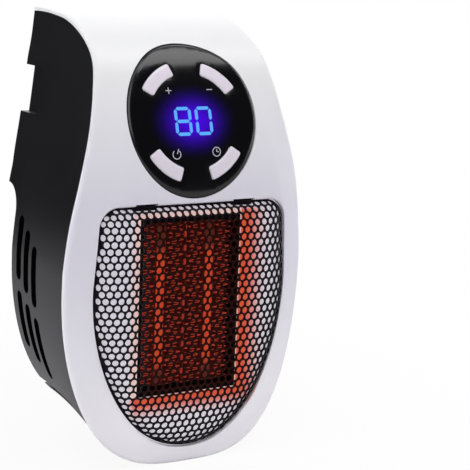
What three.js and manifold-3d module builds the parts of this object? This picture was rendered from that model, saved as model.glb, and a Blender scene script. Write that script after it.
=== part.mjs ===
// Plug-in fan heater: a white front shell on a black rear housing, a turning mains plug,
// a round control panel with four keys, and a ceramic heating block blown by a small fan.
// Millimetres, +Z up, front towards -Y. The pieces are built with the foot of the rear wall
// at y = 0 and the lowest tip at z = 0, and then moved so that the centre of the plug's face
// is the origin.

import * as THREE from 'three';
import { mergeVertices } from 'three/addons/utils/BufferGeometryUtils.js';
import Module from 'manifold-3d';

const wasm = await Module();
wasm.setup();

// Body. The plug's place, the block and the notches hang from the top edge.
const bodyHeight = 179.2;
const bodyHalfWidth = 54.2;
const widestHeight = 75;
const seamDepth = 60;
const plugDrop = 26.9;
const plugHeight = bodyHeight - plugDrop;
const blockDepth = 12.2;
const blockDrop = 44.8;
const blockUnderside = plugHeight - blockDrop;
const coveHeight = 11.5;
const heelRise = 9;
const sideTaper = 3.4;
const taperFade = 45;
const housingWall = 2;
const shellWall = 2.2;
const shellRim = 2.4;
const crown = 4.4;
const crownStartShare = 0.893;
const crownFullShare = 0.513;
const crownStart = bodyHeight * crownStartShare;
const crownFull = bodyHeight * crownFullShare;
const flankWidth = 11;
const seat = 0.3;
const overrun = 5;
const profileFoot = -2 * overrun;

// Shares and powers of the outlines
const bottomPower = 3.17;
const sweepPower = 2.1;
const flankPower = 1.3;
const seamShares = [
  [0.088, 0.997], [0.373, 0.984], [0.658, 0.945], [0.81, 0.904], [0.895, 0.844],
  [0.95, 0.78], [0.982, 0.713], [0.99, 0.647], [0.968, 0.551], [0.948, 0.436],
  [0.938, 0.322], [0.945, 0.208], [0.965, 0.098], [1, 0],
];
const upperOutlineShares = [
  [0, 1], [0.08, 0.997], [0.25, 0.96], [0.42, 0.897], [0.6, 0.814], [0.76, 0.749],
  [0.89, 0.7], [1, 0.674],
];
const taperReachShare = 1.1;
const outerStationShares = [-taperReachShare, -1, -0.8, -0.6, -0.4, -0.2, 0];
const innerStationShares = [-taperReachShare, -0.9, -0.6, -0.3, 0];
const flankShares = [0, 0.14, 0.42, 1];
const hollowShares = [0, 0.35, 1];
const flankCoreShare = 1 / 3;

// Grille and tray
const grilleMargin = 10.6;
const grilleHalfWidth = bodyHalfWidth - grilleMargin;
const grilleBottom = 7.6;
const grillePanelGap = 2.6;
const grilleCorner = 8;
const grilleLean = 1.6;
const grillePower = 2.1;
const grilleSheet = 1;
const grilleProud = 5.8;
const grilleRoll = 14;
const grilleRingShares = [0, 0.04, 0.3, 1];
const holePitch = 11.4;
const holeSize = 9.4;
const holeMargin = 1.6;
const trayWall = 1.8;
const trayFloor = seamDepth + trayWall;

// Clip tabs along the top edge of the grille
const clipSpreadShare = 0.505;
const clipHalfWidth = 4.6;
const clipRise = 0.9;
const clipSink = 1.6;
const clipThick = 1.6;

// Rocker switch, on the +X side
const rockerDepth = -5.5;
const rockerDrop = 29.4;
const rockerHeight = plugHeight - rockerDrop;
const rockerPadProud = 0.47;
const rockerPadRadius = 12.8;
const rockerPad = 5;
const rockerBezelRadius = 11.3;
const rockerBezelProud = 1.6;
const rockerBodyRadius = 9.8;
const rockerBodyLength = 17;
const rockerWellRadius = 9.1;
const rockerRadius = 8.6;
const rockerHalfThick = 2.2;
const rockerDish = 0.9;
const rockerTiltAngle = 10;
const tabHalf = 2.4;
const tabThick = 0.8;
const tabLength = 7;
const tabSpread = 4.6;

// Power board, just under the rocker's holder, and the shelf that carries it
const boardThick = 1.6;
const boardGap = 0.6;
const boardLift = 4.6;
const boardTail = 3.3;
const boardInset = 4;
const boardOverhang = 1;
const boardPostInset = 5;
const boardTop = rockerHeight - rockerBodyRadius - boardGap;
const boardLow = boardTop - boardThick;
const shelfThick = 2;
const shelfInset = 3.5;
const shelfLift = 3;
const shelfReach = 4;
const shelfTop = boardLow - boardLift;

// Heating block: its top lies below the shelf, its foot above the grille's bottom
const blockMargin = 22.2;
const blockHeadroom = 5.7;
const blockFootroom = 23.4;
const blockHalfWidth = grilleHalfWidth - blockMargin;
const blockHigh = shelfTop - blockHeadroom;
const blockLow = grilleBottom + blockFootroom;
const blockMid = (blockLow + blockHigh) / 2;
const blockHalfHeight = (blockHigh - blockLow) / 2;
const blockRecess = 4.4;
const blockThick = 10;
const frameWall = 1.2;
const frameLength = 16.5;
const frameLip = 1;
const flangeReach = 4.4;
const flangeThick = 2;
const barWidth = 4.2;
const barShare = 0.523;
const barCentre = blockHalfWidth * barShare;
const plateThick = 0.8;
const endCapHeight = 0.8;
const finSheet = 0.5;
const finFolds = 24;
const terminalHalf = 2;
const terminalThick = 0.8;
const terminalRise = 5.6;
const cutoutHalfWidth = 7;
const cutoutTall = 3.6;
const cutoutDepth = 6;

// Fan: as wide as the space between the housing's sides, or under the shelf, allows
const fanClearance = 1.5;
const ductWall = 2;
const fanSideRoom = 22.2;
const fanUpperRoom = shelfTop - shelfThick - shelfLift - ductWall - fanClearance - blockMid;
const fanRadius = Math.min(bodyHalfWidth - fanSideRoom, fanUpperRoom);
const ringRadius = fanRadius + fanClearance;
const motorRoom = 4.1;
const airDepth = trayFloor - frameLength - motorRoom - 2 * seat;
const ductLengthShare = 0.2217;
const ringLengthShare = 0.4433;
const ductLength = airDepth * ductLengthShare;
const ringLength = airDepth * ringLengthShare;
const motorLength = airDepth - ductLength - ringLength;
const motorPlate = 2;
const hubRadius = 11;
const hubGap = 3;
const hubRecess = 2;
const hubLength = ringLength - motorPlate - hubGap - hubRecess;
const hubRoot = 2;
const fanBlades = 7;
const bladeChord = 14;
const bladeThick = 1.2;
const bladePitchAngle = 35;
const motorRadius = 12.2;
const motorEnd = 4;
const shaftRadius = 1.2;
const shaftClear = 1;
const motorScrewSpread = 7.5;
const strutWidth = 5;
const strutCount = 3;
const shroudEarGap = 4.3;
const shroudEarShare = 0.69;
const shroudEarRadius = 4.6;
const shroudEarSink = 1.6;
const shroudEarThick = 2.6;
const ribHalf = 1;

// Control panel
const panelDrop = 38.04;
const panelHalfLength = 30.7;
const panelHalfWidth = 28.9;
const ribbonSpareShare = 1.25;
const lensThick = 2;
const lensGap = 0.25;
const ledgeWidth = 2;
const ledgeThick = 1.8;
const keyDrop = 1.4;
const keyInner = 19.2;
const keyOuter = 24.7;
const keySpanAngle = 40;
const keyAngles = [-38, 38, -143, 143];
const keyNames = ['key_plus', 'key_minus', 'key_standby', 'key_timer'];
const keyProud = 0.35;
const keyDepth = 3.4;
const keyFlange = 0.9;
const keyFlangeThick = 0.7;
const keyTravel = 0.5;
const stemRadius = 1.5;
const stemGap = 0.03;
const panelBoardDrop = 12;
const panelBoardHalfWidth = 29.6;
const panelBoardHalfHeight = 26;
const panelPost = 26.4;
const switchSide = 5.6;
const switchHeight = 3.5;
const plungerRadius = 1.7;
const plungerHeight = 0.8;
const displayHalfWidth = 10.6;
const displayHalfHeight = 7.6;

// Plug
const plugRadius = 18.7;
const plugProud = 2.8;
const plugFlange = 2.1;
const plugFlangeThick = 2.4;
const spigotRadius = 8;
const spigotLength = 9;
const bladeWidth = 6.35;
const bladeGauge = 1.5;
const bladeSpread = 6.35;
const bladeRise = 3.8;
const bladeLength = 16.9;
const bladeHoleRadius = 1.55;
const bladeHoleInset = 4;
const pinRadius = 2.4;
const pinDrop = 8.1;
const pinLength = 21.4;
const pinRoot = 5.5;
const pinTipShares = [[1, 1], [0.86, 0.5], [0.5, 0.125], [0, 0]];
const retainerThick = 2.5;
const retainerRadius = 20.8;
const retainerSpread = 24.2;
const retainerEar = 3.6;
const retainerScrewGrip = 4;

// Side vents: a lower and an upper slot in each column, the front column first. Depths are
// shares of the seam's depth; heights are shares of the block's half height, from its middle.
const ventWidth = 5.5;
const ventShares = [
  { depth: 0.427, lower: [-1.014, -0.256], upper: [-0.126, 0.601] },
  { depth: 0.28, lower: [-0.874, -0.141], upper: [-0.009, 0.747] },
  { depth: 0.138, lower: [-0.733, -0.029], upper: [0.106, 0.882] },
];
const rearSlotWidth = 4.4;
const rearSlotPitch = 10;
const rearSlotPairs = 2;
const rearSlotShares = [[-0.943, -0.253], [-0.052, 0.695]];

// Pads that rest against the wall, below the plug
const padSpread = 12;
const padDrop = 28.3;
const padHalfLength = 7;
const padWidth = 6;
const padSunk = 1;
const padProud = 1.3;

// Thumb notches, as deep all the way up, and the grooves above the heel
const notchDrop = 5.15;
const notchHalfHeight = 9.75;
const notchFront = 10.8;
const notchDepth = 3.75;
const grooveHeight = 22.6;
const grooveTall = 3.4;
const grooveFront = 39.4;
const grooveDepth = 3;

// Screws
const screwShank = 1.5;
const screwHead = 2.9;
const screwHeadTall = 2.2;
const screwSlot = 0.9;
const caseScrewGrip = 9.5;
const caseScrewLength = 12;
const caseTubeRadius = 5;
const caseTubeBore = 3.6;
const caseTubeFloor = 2.5;
const caseBossRadius = 4;
const caseScrewFoot = 21;
const caseScrewDrop = 13.2;
const caseScrewShares = [{ side: 0.369, joint: 0.833 }, { side: 0.5535, joint: 0.567 }];
const smallShank = 1.1;
const smallHead = 2.1;
const smallHeadTall = 1.5;
const smallSlot = 0.7;
const smallScrewLength = 6;
const postRadius = 2.7;
const pinProud = 0.8;

// Leads
const mainsLeadRadius = 2.6;
const wireRadius = 1.1;
const switchLeadRadius = 1.6;
const motorLeadRise = 3;
const switchLeadShares = { x: 0.516, y: 0.889 };

const rearFace = blockDepth + plugProud;
const halfTurn = 180;
const degree = Math.PI / halfTurn;
const caseScrews = [caseScrewFoot, bodyHeight - caseScrewDrop].map((z, i) => ({
  x: bodyHalfWidth * caseScrewShares[i].side,
  z,
  joint: -seamDepth * caseScrewShares[i].joint,
}));

// Finishes
function finish(colour, roughness, metalness = 0) {
  return new THREE.MeshStandardMaterial({ color: colour, roughness, metalness });
}

// Solids
function toSolid(geometry) {
  geometry.deleteAttribute('normal');
  geometry.deleteAttribute('uv');
  const merged = mergeVertices(geometry);
  const kept = [];
  const corners = merged.index.array;
  for (let i = 0; i < corners.length; i += 3) {
    const [a, b, c] = [corners[i], corners[i + 1], corners[i + 2]];
    if (a !== b && b !== c && c !== a) kept.push(a, b, c);
  }
  return new wasm.Manifold(new wasm.Mesh({
    numProp: 3,
    vertProperties: new Float32Array(merged.attributes.position.array),
    triVerts: new Uint32Array(kept),
  }));
}

function toGeometry(solid) {
  const mesh = solid.getMesh();
  const geometry = new THREE.BufferGeometry();
  geometry.setAttribute('position', new THREE.BufferAttribute(mesh.vertProperties, mesh.numProp));
  geometry.setIndex(new THREE.BufferAttribute(mesh.triVerts, 1));
  return geometry;
}

const body = new THREE.Group();
body.position.set(0, -rearFace, -plugHeight);

function addPiece(name, solid, material) {
  const mesh = new THREE.Mesh(toGeometry(solid), material);
  mesh.name = name;
  body.add(mesh);
}

function join(solids) {
  return solids.reduce((whole, next) => whole.add(next));
}

function moved(solid, x, y, z) {
  return toSolid(toGeometry(solid).translate(x, y, z));
}

function turned(solid, axis, angle) {
  return toSolid(toGeometry(solid).applyMatrix4(new THREE.Matrix4().makeRotationAxis(axis, angle * degree)));
}

function block([x0, x1], [y0, y1], [z0, z1]) {
  const geometry = new THREE.BoxGeometry(x1 - x0, y1 - y0, z1 - z0);
  geometry.translate((x0 + x1) / 2, (y0 + y1) / 2, (z0 + z1) / 2);
  return toSolid(geometry);
}

const axisX = new THREE.Vector3(1, 0, 0);
const axisY = new THREE.Vector3(0, 1, 0);
const axisZ = new THREE.Vector3(0, 0, 1);
const turnedToX = new THREE.Matrix4().makeBasis(axisY, axisZ, axisX);
const turnedToY = new THREE.Matrix4().makeBasis(axisX, axisZ, axisY.clone().negate());

function extruded(points, from, to) {
  const shape = new THREE.Shape(points.map(([a, b]) => new THREE.Vector2(a, b)));
  const geometry = new THREE.ExtrudeGeometry(shape, { depth: to - from, bevelEnabled: false });
  return geometry.translate(0, 0, from);
}

// Prisms: outline points are (y, z) for prismX, (x, z) for prismY and (x, y) for prismZ
function prismX(points, x0, x1) {
  return toSolid(extruded(points, x0, x1).applyMatrix4(turnedToX));
}

function prismY(points, y0, y1) {
  return toSolid(extruded(points, -y1, -y0).applyMatrix4(turnedToY));
}

function prismZ(points, z0, z1) {
  return toSolid(extruded(points, z0, z1));
}

function ovalPoints(cx, cy, rx, ry, sides) {
  const points = [];
  for (let i = 0; i < sides; i += 1) {
    const angle = (2 * Math.PI * i) / sides;
    points.push([cx + rx * Math.cos(angle), cy + ry * Math.sin(angle)]);
  }
  return points;
}

function rodX(y, z, radius, x0, x1, sides = 24) {
  return prismX(ovalPoints(y, z, radius, radius, sides), x0, x1);
}

function rodY(x, z, radius, y0, y1, sides = 24) {
  return prismY(ovalPoints(x, z, radius, radius, sides), y0, y1);
}

function rodZ(x, y, radius, z0, z1, sides = 24) {
  return prismZ(ovalPoints(x, y, radius, radius, sides), z0, z1);
}

// A slot with round ends, upright in its plane
function slotPoints(centre, low, high, width, steps = 6) {
  const points = [];
  const r = width / 2;
  for (let i = 0; i <= steps; i += 1) {
    const angle = (Math.PI * i) / steps;
    points.push([centre + r * Math.cos(angle), high - r + r * Math.sin(angle)]);
  }
  for (let i = 0; i <= steps; i += 1) {
    const angle = Math.PI + (Math.PI * i) / steps;
    points.push([centre + r * Math.cos(angle), low + r + r * Math.sin(angle)]);
  }
  return points;
}

// A closed solid from rings of equal length, capped at both ends by a fan
function loft(rings) {
  const count = rings[0].length;
  const position = rings.flat().flatMap((p) => [p.x, p.y, p.z]);
  const index = [];
  for (let r = 0; r + 1 < rings.length; r += 1) {
    for (let i = 0; i < count; i += 1) {
      const a = r * count + i;
      const b = r * count + ((i + 1) % count);
      index.push(a, b, b + count, a, b + count, a + count);
    }
  }
  const last = (rings.length - 1) * count;
  for (let i = 1; i + 1 < count; i += 1) {
    index.push(0, i + 1, i, last, last + i, last + i + 1);
  }
  return outward(position, index);
}

// A closed solid between two surfaces that share their rows and columns
function slab(front, back) {
  const rows = front.length;
  const columns = front[0].length;
  const position = [...front.flat(), ...back.flat()].flatMap((p) => [p.x, p.y, p.z]);
  const behind = rows * columns;
  const at = (r, c) => r * columns + c;
  const index = [];
  const quad = (a, b, c, d) => index.push(a, b, c, a, c, d);
  for (let r = 0; r + 1 < rows; r += 1) {
    for (let c = 0; c + 1 < columns; c += 1) {
      quad(at(r, c), at(r, c + 1), at(r + 1, c + 1), at(r + 1, c));
      quad(behind + at(r, c), behind + at(r + 1, c), behind + at(r + 1, c + 1), behind + at(r, c + 1));
    }
  }
  for (let c = 0; c + 1 < columns; c += 1) {
    quad(at(0, c + 1), at(0, c), behind + at(0, c), behind + at(0, c + 1));
    quad(at(rows - 1, c), at(rows - 1, c + 1), behind + at(rows - 1, c + 1), behind + at(rows - 1, c));
  }
  for (let r = 0; r + 1 < rows; r += 1) {
    quad(at(r, 0), at(r + 1, 0), behind + at(r + 1, 0), behind + at(r, 0));
    const [above, below] = [at(r, columns - 1), at(r + 1, columns - 1)];
    quad(below, above, behind + above, behind + below);
  }
  return outward(position, index);
}

// Turns the faces out by the sign of the enclosed volume
function outward(position, index) {
  const p = (i) => new THREE.Vector3(...position.slice(3 * i, 3 * i + 3));
  let volume = 0;
  for (let i = 0; i < index.length; i += 3) {
    volume += p(index[i]).dot(p(index[i + 1]).cross(p(index[i + 2])));
  }
  if (volume < 0) index.reverse();
  const geometry = new THREE.BufferGeometry();
  geometry.setAttribute('position', new THREE.Float32BufferAttribute(position, 3));
  geometry.setIndex(index);
  return toSolid(geometry);
}

// Seam between shell and housing, from the rear of the top down to the foot
const seam = new THREE.CatmullRomCurve3([
  new THREE.Vector3(0, blockDepth, bodyHeight),
  ...seamShares.map(([ys, zs]) => new THREE.Vector3(0, -ys * seamDepth, zs * bodyHeight)),
]);
seam.arcLengthDivisions = 600;
const seamLength = seam.getLength();

function seamAt(share) {
  const point = seam.getPointAt(share);
  const along = seam.getTangentAt(share);
  return { point, out: new THREE.Vector3(0, along.z, -along.y) };
}

function seamShareAtHeight(height) {
  let low = 0;
  let high = 1;
  for (let i = 0; i < 30; i += 1) {
    const middle = (low + high) / 2;
    if (seam.getPointAt(middle).z > height) low = middle;
    else high = middle;
  }
  return (low + high) / 2;
}

// Smooth value between the rows of a share table
function blended(table, share) {
  const s = Math.min(Math.max(share, table[0][0]), table[table.length - 1][0]);
  let i = 0;
  while (i + 2 < table.length && table[i + 1][0] < s) i += 1;
  const [s0, v0] = table[i];
  const [s1, v1] = table[i + 1];
  const before = table[Math.max(i - 1, 0)];
  const after = table[Math.min(i + 2, table.length - 1)];
  const slope0 = (v1 - before[1]) / (s1 - before[0]);
  const slope1 = (after[1] - v0) / (after[0] - s0);
  const t = (s - s0) / (s1 - s0);
  const span = s1 - s0;
  return v0 * (1 + 2 * t) * (1 - t) ** 2 + slope0 * span * t * (1 - t) ** 2
    + v1 * t * t * (3 - 2 * t) + slope1 * span * t * t * (t - 1);
}

// Half width of the front outline at a height
function halfWidth(height) {
  if (height < widestHeight) {
    const drop = (widestHeight - Math.max(height, 0)) / widestHeight;
    return bodyHalfWidth * (1 - drop ** 2) ** (1 / bottomPower);
  }
  return bodyHalfWidth * blended(upperOutlineShares, (height - widestHeight) / (bodyHeight - widestHeight));
}

// Height of the shell's plateau ahead of the seam
function plateauRise(height) {
  const s = THREE.MathUtils.clamp((crownStart - height) / (crownStart - crownFull), 0, 1);
  return shellRim + crown * s * s * (3 - 2 * s);
}

const edgeSamples = 150;
const tipTurn = 3 * degree;
const edge = [];
for (let i = 0; i <= edgeSamples; i += 1) {
  const share = 1 - (1 - i / edgeSamples) ** 2;
  const height = seam.getPointAt(share).z;
  edge.push(new THREE.Vector2(halfWidth(height), share * seamLength));
}

// Distance from the outline's edge, measured on the unrolled front
function edgeDistance(x, share) {
  const here = new THREE.Vector2(Math.abs(x), share * seamLength);
  let nearest = Infinity;
  for (let i = 0; i < edgeSamples; i += 1) {
    const along = edge[i + 1].clone().sub(edge[i]);
    const t = THREE.MathUtils.clamp(here.clone().sub(edge[i]).dot(along) / along.lengthSq(), 0, 1);
    nearest = Math.min(nearest, here.distanceTo(edge[i].clone().addScaledVector(along, t)));
  }
  return nearest;
}

function frontRise(x, share) {
  const height = seam.getPointAt(share).z;
  const ramp = Math.min(edgeDistance(x, share) / flankWidth, 1);
  const rise = plateauRise(height) - shellRim;
  return shellRim + rise * (1 - (1 - ramp) ** flankPower);
}

// Rows down the front: close together where the seam bends, and following the round bottom
const rowTurnAngle = 9;
const rowSpan = 17;
const rowTrials = 240;
const lowerRows = 9;
const upperShares = [0];
const widestShare = seamShareAtHeight(widestHeight);
for (let i = 1; i < rowTrials; i += 1) {
  const share = (widestShare * i) / rowTrials;
  const last = upperShares[upperShares.length - 1];
  const turn = seam.getTangentAt(share).angleTo(seam.getTangentAt(last));
  if (turn > rowTurnAngle * degree || (share - last) * seamLength > rowSpan) upperShares.push(share);
}

function rowShares(inset) {
  const shares = upperShares.filter((share, i) => inset === 0 || i % 2 === 0);
  for (let i = 0; i <= lowerRows; i += 1) {
    const angle = Math.PI / 2 + (tipTurn - Math.PI / 2) * (i / lowerRows);
    shares.push(seamShareAtHeight(inset + (widestHeight - inset) * (1 - Math.cos(angle))));
  }
  return shares;
}

function columnPlaces(width, shares) {
  const inner = Math.max(width - flankWidth, width * flankCoreShare);
  const right = shares.map((share) => width + (inner - width) * share);
  return [...right, ...right.map((x) => -x).reverse()];
}

// Largest half width whose distance from the edge is the inset
function insetHalfWidth(share, inset) {
  let low = 0;
  let high = halfWidth(seam.getPointAt(share).z);
  for (let i = 0; i < 16 && inset > 0; i += 1) {
    const middle = (low + high) / 2;
    if (edgeDistance(middle, share) > inset) low = middle;
    else high = middle;
  }
  return high;
}

// The space under the shell's front surface, set in and down from it
function frontForm(inset, sunk, back, shares) {
  const front = [];
  const rear = [];
  for (const share of rowShares(inset)) {
    const { point, out } = seamAt(share);
    const places = columnPlaces(insetHalfWidth(share, inset), shares);
    const lifted = (x, rise) => point.clone().addScaledVector(out, rise).setX(x);
    front.push(places.map((x) => lifted(x, frontRise(x, share) - sunk)));
    rear.push(places.map((x) => lifted(x, back)));
  }
  return slab(front, rear);
}

// Plateau surface on the centre plane, and a ribbon of it across the control panel
function plateauPoint(share, rise = 0) {
  const { point, out } = seamAt(share);
  return point.clone().addScaledVector(out, plateauRise(point.z) + rise);
}

const ribbonRows = 10;
const panelCentreShare = seamShareAtHeight(bodyHeight - panelDrop);
const ribbonShare = (panelHalfLength * ribbonSpareShare) / seamLength;
function ribbon(low, high) {
  const upper = [];
  const lower = [];
  for (let i = 0; i <= ribbonRows; i += 1) {
    const share = panelCentreShare + ribbonShare * (1 - (2 * i) / ribbonRows);
    const top = plateauPoint(share, high);
    const bottom = plateauPoint(share, low);
    upper.push([top.y, top.z]);
    lower.push([bottom.y, bottom.z]);
  }
  return prismX([...upper, ...lower.reverse()], -panelHalfWidth - overrun, panelHalfWidth + overrun);
}

// Frame of the control panel: across, up the chord, out of the face
const panelHead = plateauPoint(panelCentreShare - panelHalfLength / seamLength);
const panelFoot = plateauPoint(panelCentreShare + panelHalfLength / seamLength);
const panelMiddle = panelHead.clone().add(panelFoot).multiplyScalar(0.5);
const panelUp = panelHead.clone().sub(panelFoot).normalize();
const panelOut = axisX.clone().cross(panelUp);
const panelMatrix = new THREE.Matrix4().makeBasis(axisX, panelUp, panelOut).setPosition(panelMiddle);
const panelHalfHeight = panelHead.distanceTo(panelFoot) / 2;
const panelBulge = plateauPoint(panelCentreShare).sub(panelMiddle).dot(panelOut);
const panelBoardTop = panelBulge - panelBoardDrop;

function panelPrism(points, low, high) {
  return toSolid(extruded(points, low, high).applyMatrix4(panelMatrix));
}

function panelOval(grow, low, high, sides = 36) {
  return panelPrism(ovalPoints(0, 0, panelHalfWidth + grow, panelHalfHeight + grow, sides), low, high);
}

const grilleTop = panelFoot.z - grillePanelGap;

// Outline of the grille: flat top with round corners, sides that lean in, a round bottom
function grillePoints(grow, bottomSteps = 9, cornerSteps = 3) {
  const points = [];
  const half = grilleHalfWidth + grow;
  const low = widestHeight - grilleBottom + grow;
  for (let i = 0; i <= bottomSteps; i += 1) {
    const angle = -Math.PI / 2 + (Math.PI / 2) * (i / bottomSteps);
    const c = Math.cos(angle) ** (2 / grillePower);
    points.push([half * c, widestHeight + low * Math.sin(angle)]);
  }
  const corner = grilleCorner + grow;
  const shoulder = half - grilleLean - corner;
  for (let i = 0; i <= cornerSteps; i += 1) {
    const angle = (Math.PI / 2) * (i / cornerSteps);
    points.push([shoulder + corner * Math.cos(angle), grilleTop + grow - corner + corner * Math.sin(angle)]);
  }
  const left = points.slice(1).map(([x, z]) => [-x, z]).reverse();
  return [...points, ...left];
}

// Front shell
const outerForm = frontForm(0, 0, seat, flankShares);
const white = finish(0xf1f0f5, 0.32);

function frontShell() {
  const hollow = frontForm(shellWall, shellWall, -overrun, hollowShares);
  const reach = trayFloor + grilleProud + overrun;
  const tray = prismY(grillePoints(seat + trayWall), -reach, trayWall - trayFloor).intersect(outerForm);
  const recess = prismY(grillePoints(seat), -reach, -trayFloor);
  const ledge = panelOval(ledgeWidth + lensGap, -2 * overrun, 2 * overrun)
    .subtract(panelOval(-ledgeWidth, -3 * overrun, 3 * overrun))
    .intersect(ribbon(-lensThick - seat - ledgeThick, -shellWall / 2));
  const lensSeat = panelOval(lensGap, -3 * overrun, 3 * overrun)
    .intersect(ribbon(-lensThick - seat, overrun));
  const lensHole = panelOval(-ledgeWidth, -3 * overrun, 3 * overrun);
  const frameOuter = blockHalfWidth + frameWall + seat;
  const frameTall = blockHalfHeight + frameWall + seat;
  const window = block([-frameOuter, frameOuter], [-reach, 0], [blockMid - frameTall, blockMid + frameTall]);
  let shell = outerForm.subtract(hollow).add(tray).add(ledge).subtract(recess);
  shell = shell.subtract(lensSeat).subtract(lensHole).subtract(window);
  const tabs = clipPlaces.map((x) => clipTab(x, seat));
  const trayZone = block([-reach, reach], [-reach, trayWall - trayFloor], [0, grilleTop]);
  for (const side of [-1, 1]) {
    for (const { x, z, joint } of caseScrews) {
      const boss = rodY(side * x, z, caseBossRadius, -reach, joint - seat, 10).intersect(envelope);
      shell = shell.add(boss.subtract(recess));
      const hole = rodY(side * x, z, screwShank + seat, joint - caseScrewLength, 0, 8);
      shell = shell.subtract(hole.subtract(trayZone));
    }
    const post = panelPrism(ovalPoints(side * panelPost, 0, postRadius, postRadius, 8),
      panelBoardTop + seat, panelBulge - lensThick - ledgeThick);
    const pin = panelPrism(ovalPoints(side * panelPost, 0, smallShank, smallShank, 8),
      panelBoardTop - boardThick - pinProud, panelBoardTop + postRadius);
    shell = shell.add(post).add(pin);
    for (const z of shroudEarHeights) {
      const leg = rodY(side * shroudEar, z, postRadius, seat - trayFloor, shroudEarFace - seat, 8);
      shell = shell.add(leg.subtract(rodY(side * shroudEar, z, smallShank + seat,
        shroudEarFace - smallScrewLength, shroudEarFace, 8)));
    }
  }
  return tabs.reduce((whole, tab) => whole.subtract(tab), shell);
}

const clipPlaces = [-clipSpreadShare * grilleHalfWidth, clipSpreadShare * grilleHalfWidth];
const clipFront = -trayFloor - seat - clipThick;
function clipTab(x, grow) {
  return block([x - clipHalfWidth - grow, x + clipHalfWidth + grow],
    [clipFront - overrun * grow, clipFront + clipThick + grow],
    [grilleTop - clipSink, grilleTop + clipRise + grow]);
}

// Rear housing
function coveOutline(offset, steps = 5) {
  const points = [];
  const last = Math.acos(offset / (blockDepth + offset));
  for (let i = 0; i <= steps; i += 1) {
    const angle = (last * i) / steps;
    points.push([blockDepth - (blockDepth + offset) * Math.cos(angle),
      blockUnderside - coveHeight + (coveHeight + offset) * Math.sin(angle)]);
  }
  return points;
}

function bottomLift(y) {
  const forward = THREE.MathUtils.clamp(-y / seamDepth, 0, 1);
  return heelRise * (1 - forward ** sweepPower);
}

function housingHalfWidth(y, height) {
  const fade = THREE.MathUtils.clamp((crownStart - height) / taperFade, 0, 1);
  const back = (y + seamDepth) / seamDepth;
  return halfWidth(height) - sideTaper * fade * THREE.MathUtils.clamp(back, 0, taperReachShare);
}

const rockerPadFace = housingHalfWidth(rockerDepth, rockerHeight) + rockerPadProud;

function housingRings(inset, stationShares, lowerSteps, upperSteps) {
  const stations = [...stationShares.map((share) => share * seamDepth), blockDepth + overrun];
  return stations.map((y) => {
    const right = [];
    for (let i = 0; i <= lowerSteps; i += 1) {
      const angle = tipTurn + (Math.PI / 2 - tipTurn) * (i / lowerSteps);
      const plain = widestHeight * (1 - Math.cos(angle));
      const lift = bottomLift(y) + inset;
      const height = widestHeight - ((widestHeight - plain) * (widestHeight - lift)) / widestHeight;
      right.push([housingHalfWidth(y, plain) - inset, height]);
    }
    for (let i = 1; i <= upperSteps; i += 1) {
      const height = widestHeight + ((bodyHeight - widestHeight) * i) / upperSteps;
      right.push([housingHalfWidth(y, height) - inset, height]);
    }
    right.push([right[right.length - 1][0], bodyHeight + 2 * overrun]);
    const ring = [...right, ...right.map(([x, z]) => [-x, z]).reverse()];
    return ring.map(([x, z]) => new THREE.Vector3(x, y, z));
  });
}

function housingBlank() {
  const front = rowShares(0).map((share) => {
    const { y, z } = seam.getPointAt(share);
    return [y, z];
  });
  const rear = [[0, profileFoot], ...coveOutline(0)];
  const outline = [...front, [-seamDepth, profileFoot], ...rear];
  return prismX(outline, -bodyHalfWidth - overrun, bodyHalfWidth + overrun)
    .intersect(loft(housingRings(0, outerStationShares, 10, 7)));
}

function housingHollow() {
  const reach = seamDepth + 2 * overrun;
  const above = bodyHeight + overrun;
  const inside = blockDepth - housingWall;
  const outline = [[-reach, above], [-reach, profileFoot], [-housingWall, profileFoot],
    ...coveOutline(housingWall), [inside, above]];
  return prismX(outline, -bodyHalfWidth, bodyHalfWidth)
    .intersect(loft(housingRings(housingWall, innerStationShares, 6, 4)));
}

// A notch open to the rear, whose floor follows the housing's side
function notch(side, grow) {
  const centre = plugHeight - notchDrop;
  const r = notchHalfHeight + grow;
  const start = notchHalfHeight - notchFront;
  const points = [[rearFace, centre - r], [rearFace, centre + r]];
  const steps = 6;
  for (let i = 0; i <= steps; i += 1) {
    const angle = Math.PI / 2 + (Math.PI * i) / steps;
    points.push([start + r * Math.cos(angle), centre + r * Math.sin(angle)]);
  }
  const outer = side * (bodyHalfWidth + overrun);
  const prism = prismX(points, Math.min(0, outer), Math.max(0, outer));
  return prism.subtract(loft(housingRings(notchDepth + grow, innerStationShares, 6, 4)));
}

function groove(side, grow) {
  const tip = -grooveFront - grow;
  const face = (y) => housingHalfWidth(y, grooveHeight - bottomLift(y));
  const deep = face(0) - grooveDepth - grow;
  const outer = bodyHalfWidth;
  const points = [[outer, tip], [face(tip) + seat, tip], [deep, 0], [deep, overrun], [outer, overrun]];
  const turned = points.map(([x, y]) => [side * x, y]);
  const half = grooveTall / 2 + grow;
  return prismZ(side > 0 ? turned : turned.reverse(), grooveHeight - half, grooveHeight + half);
}

const envelope = outerForm.add(moved(housingBlank(), 0, -seat * 2, 0));
const black = finish(0x1b1a20, 0.42);

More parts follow.
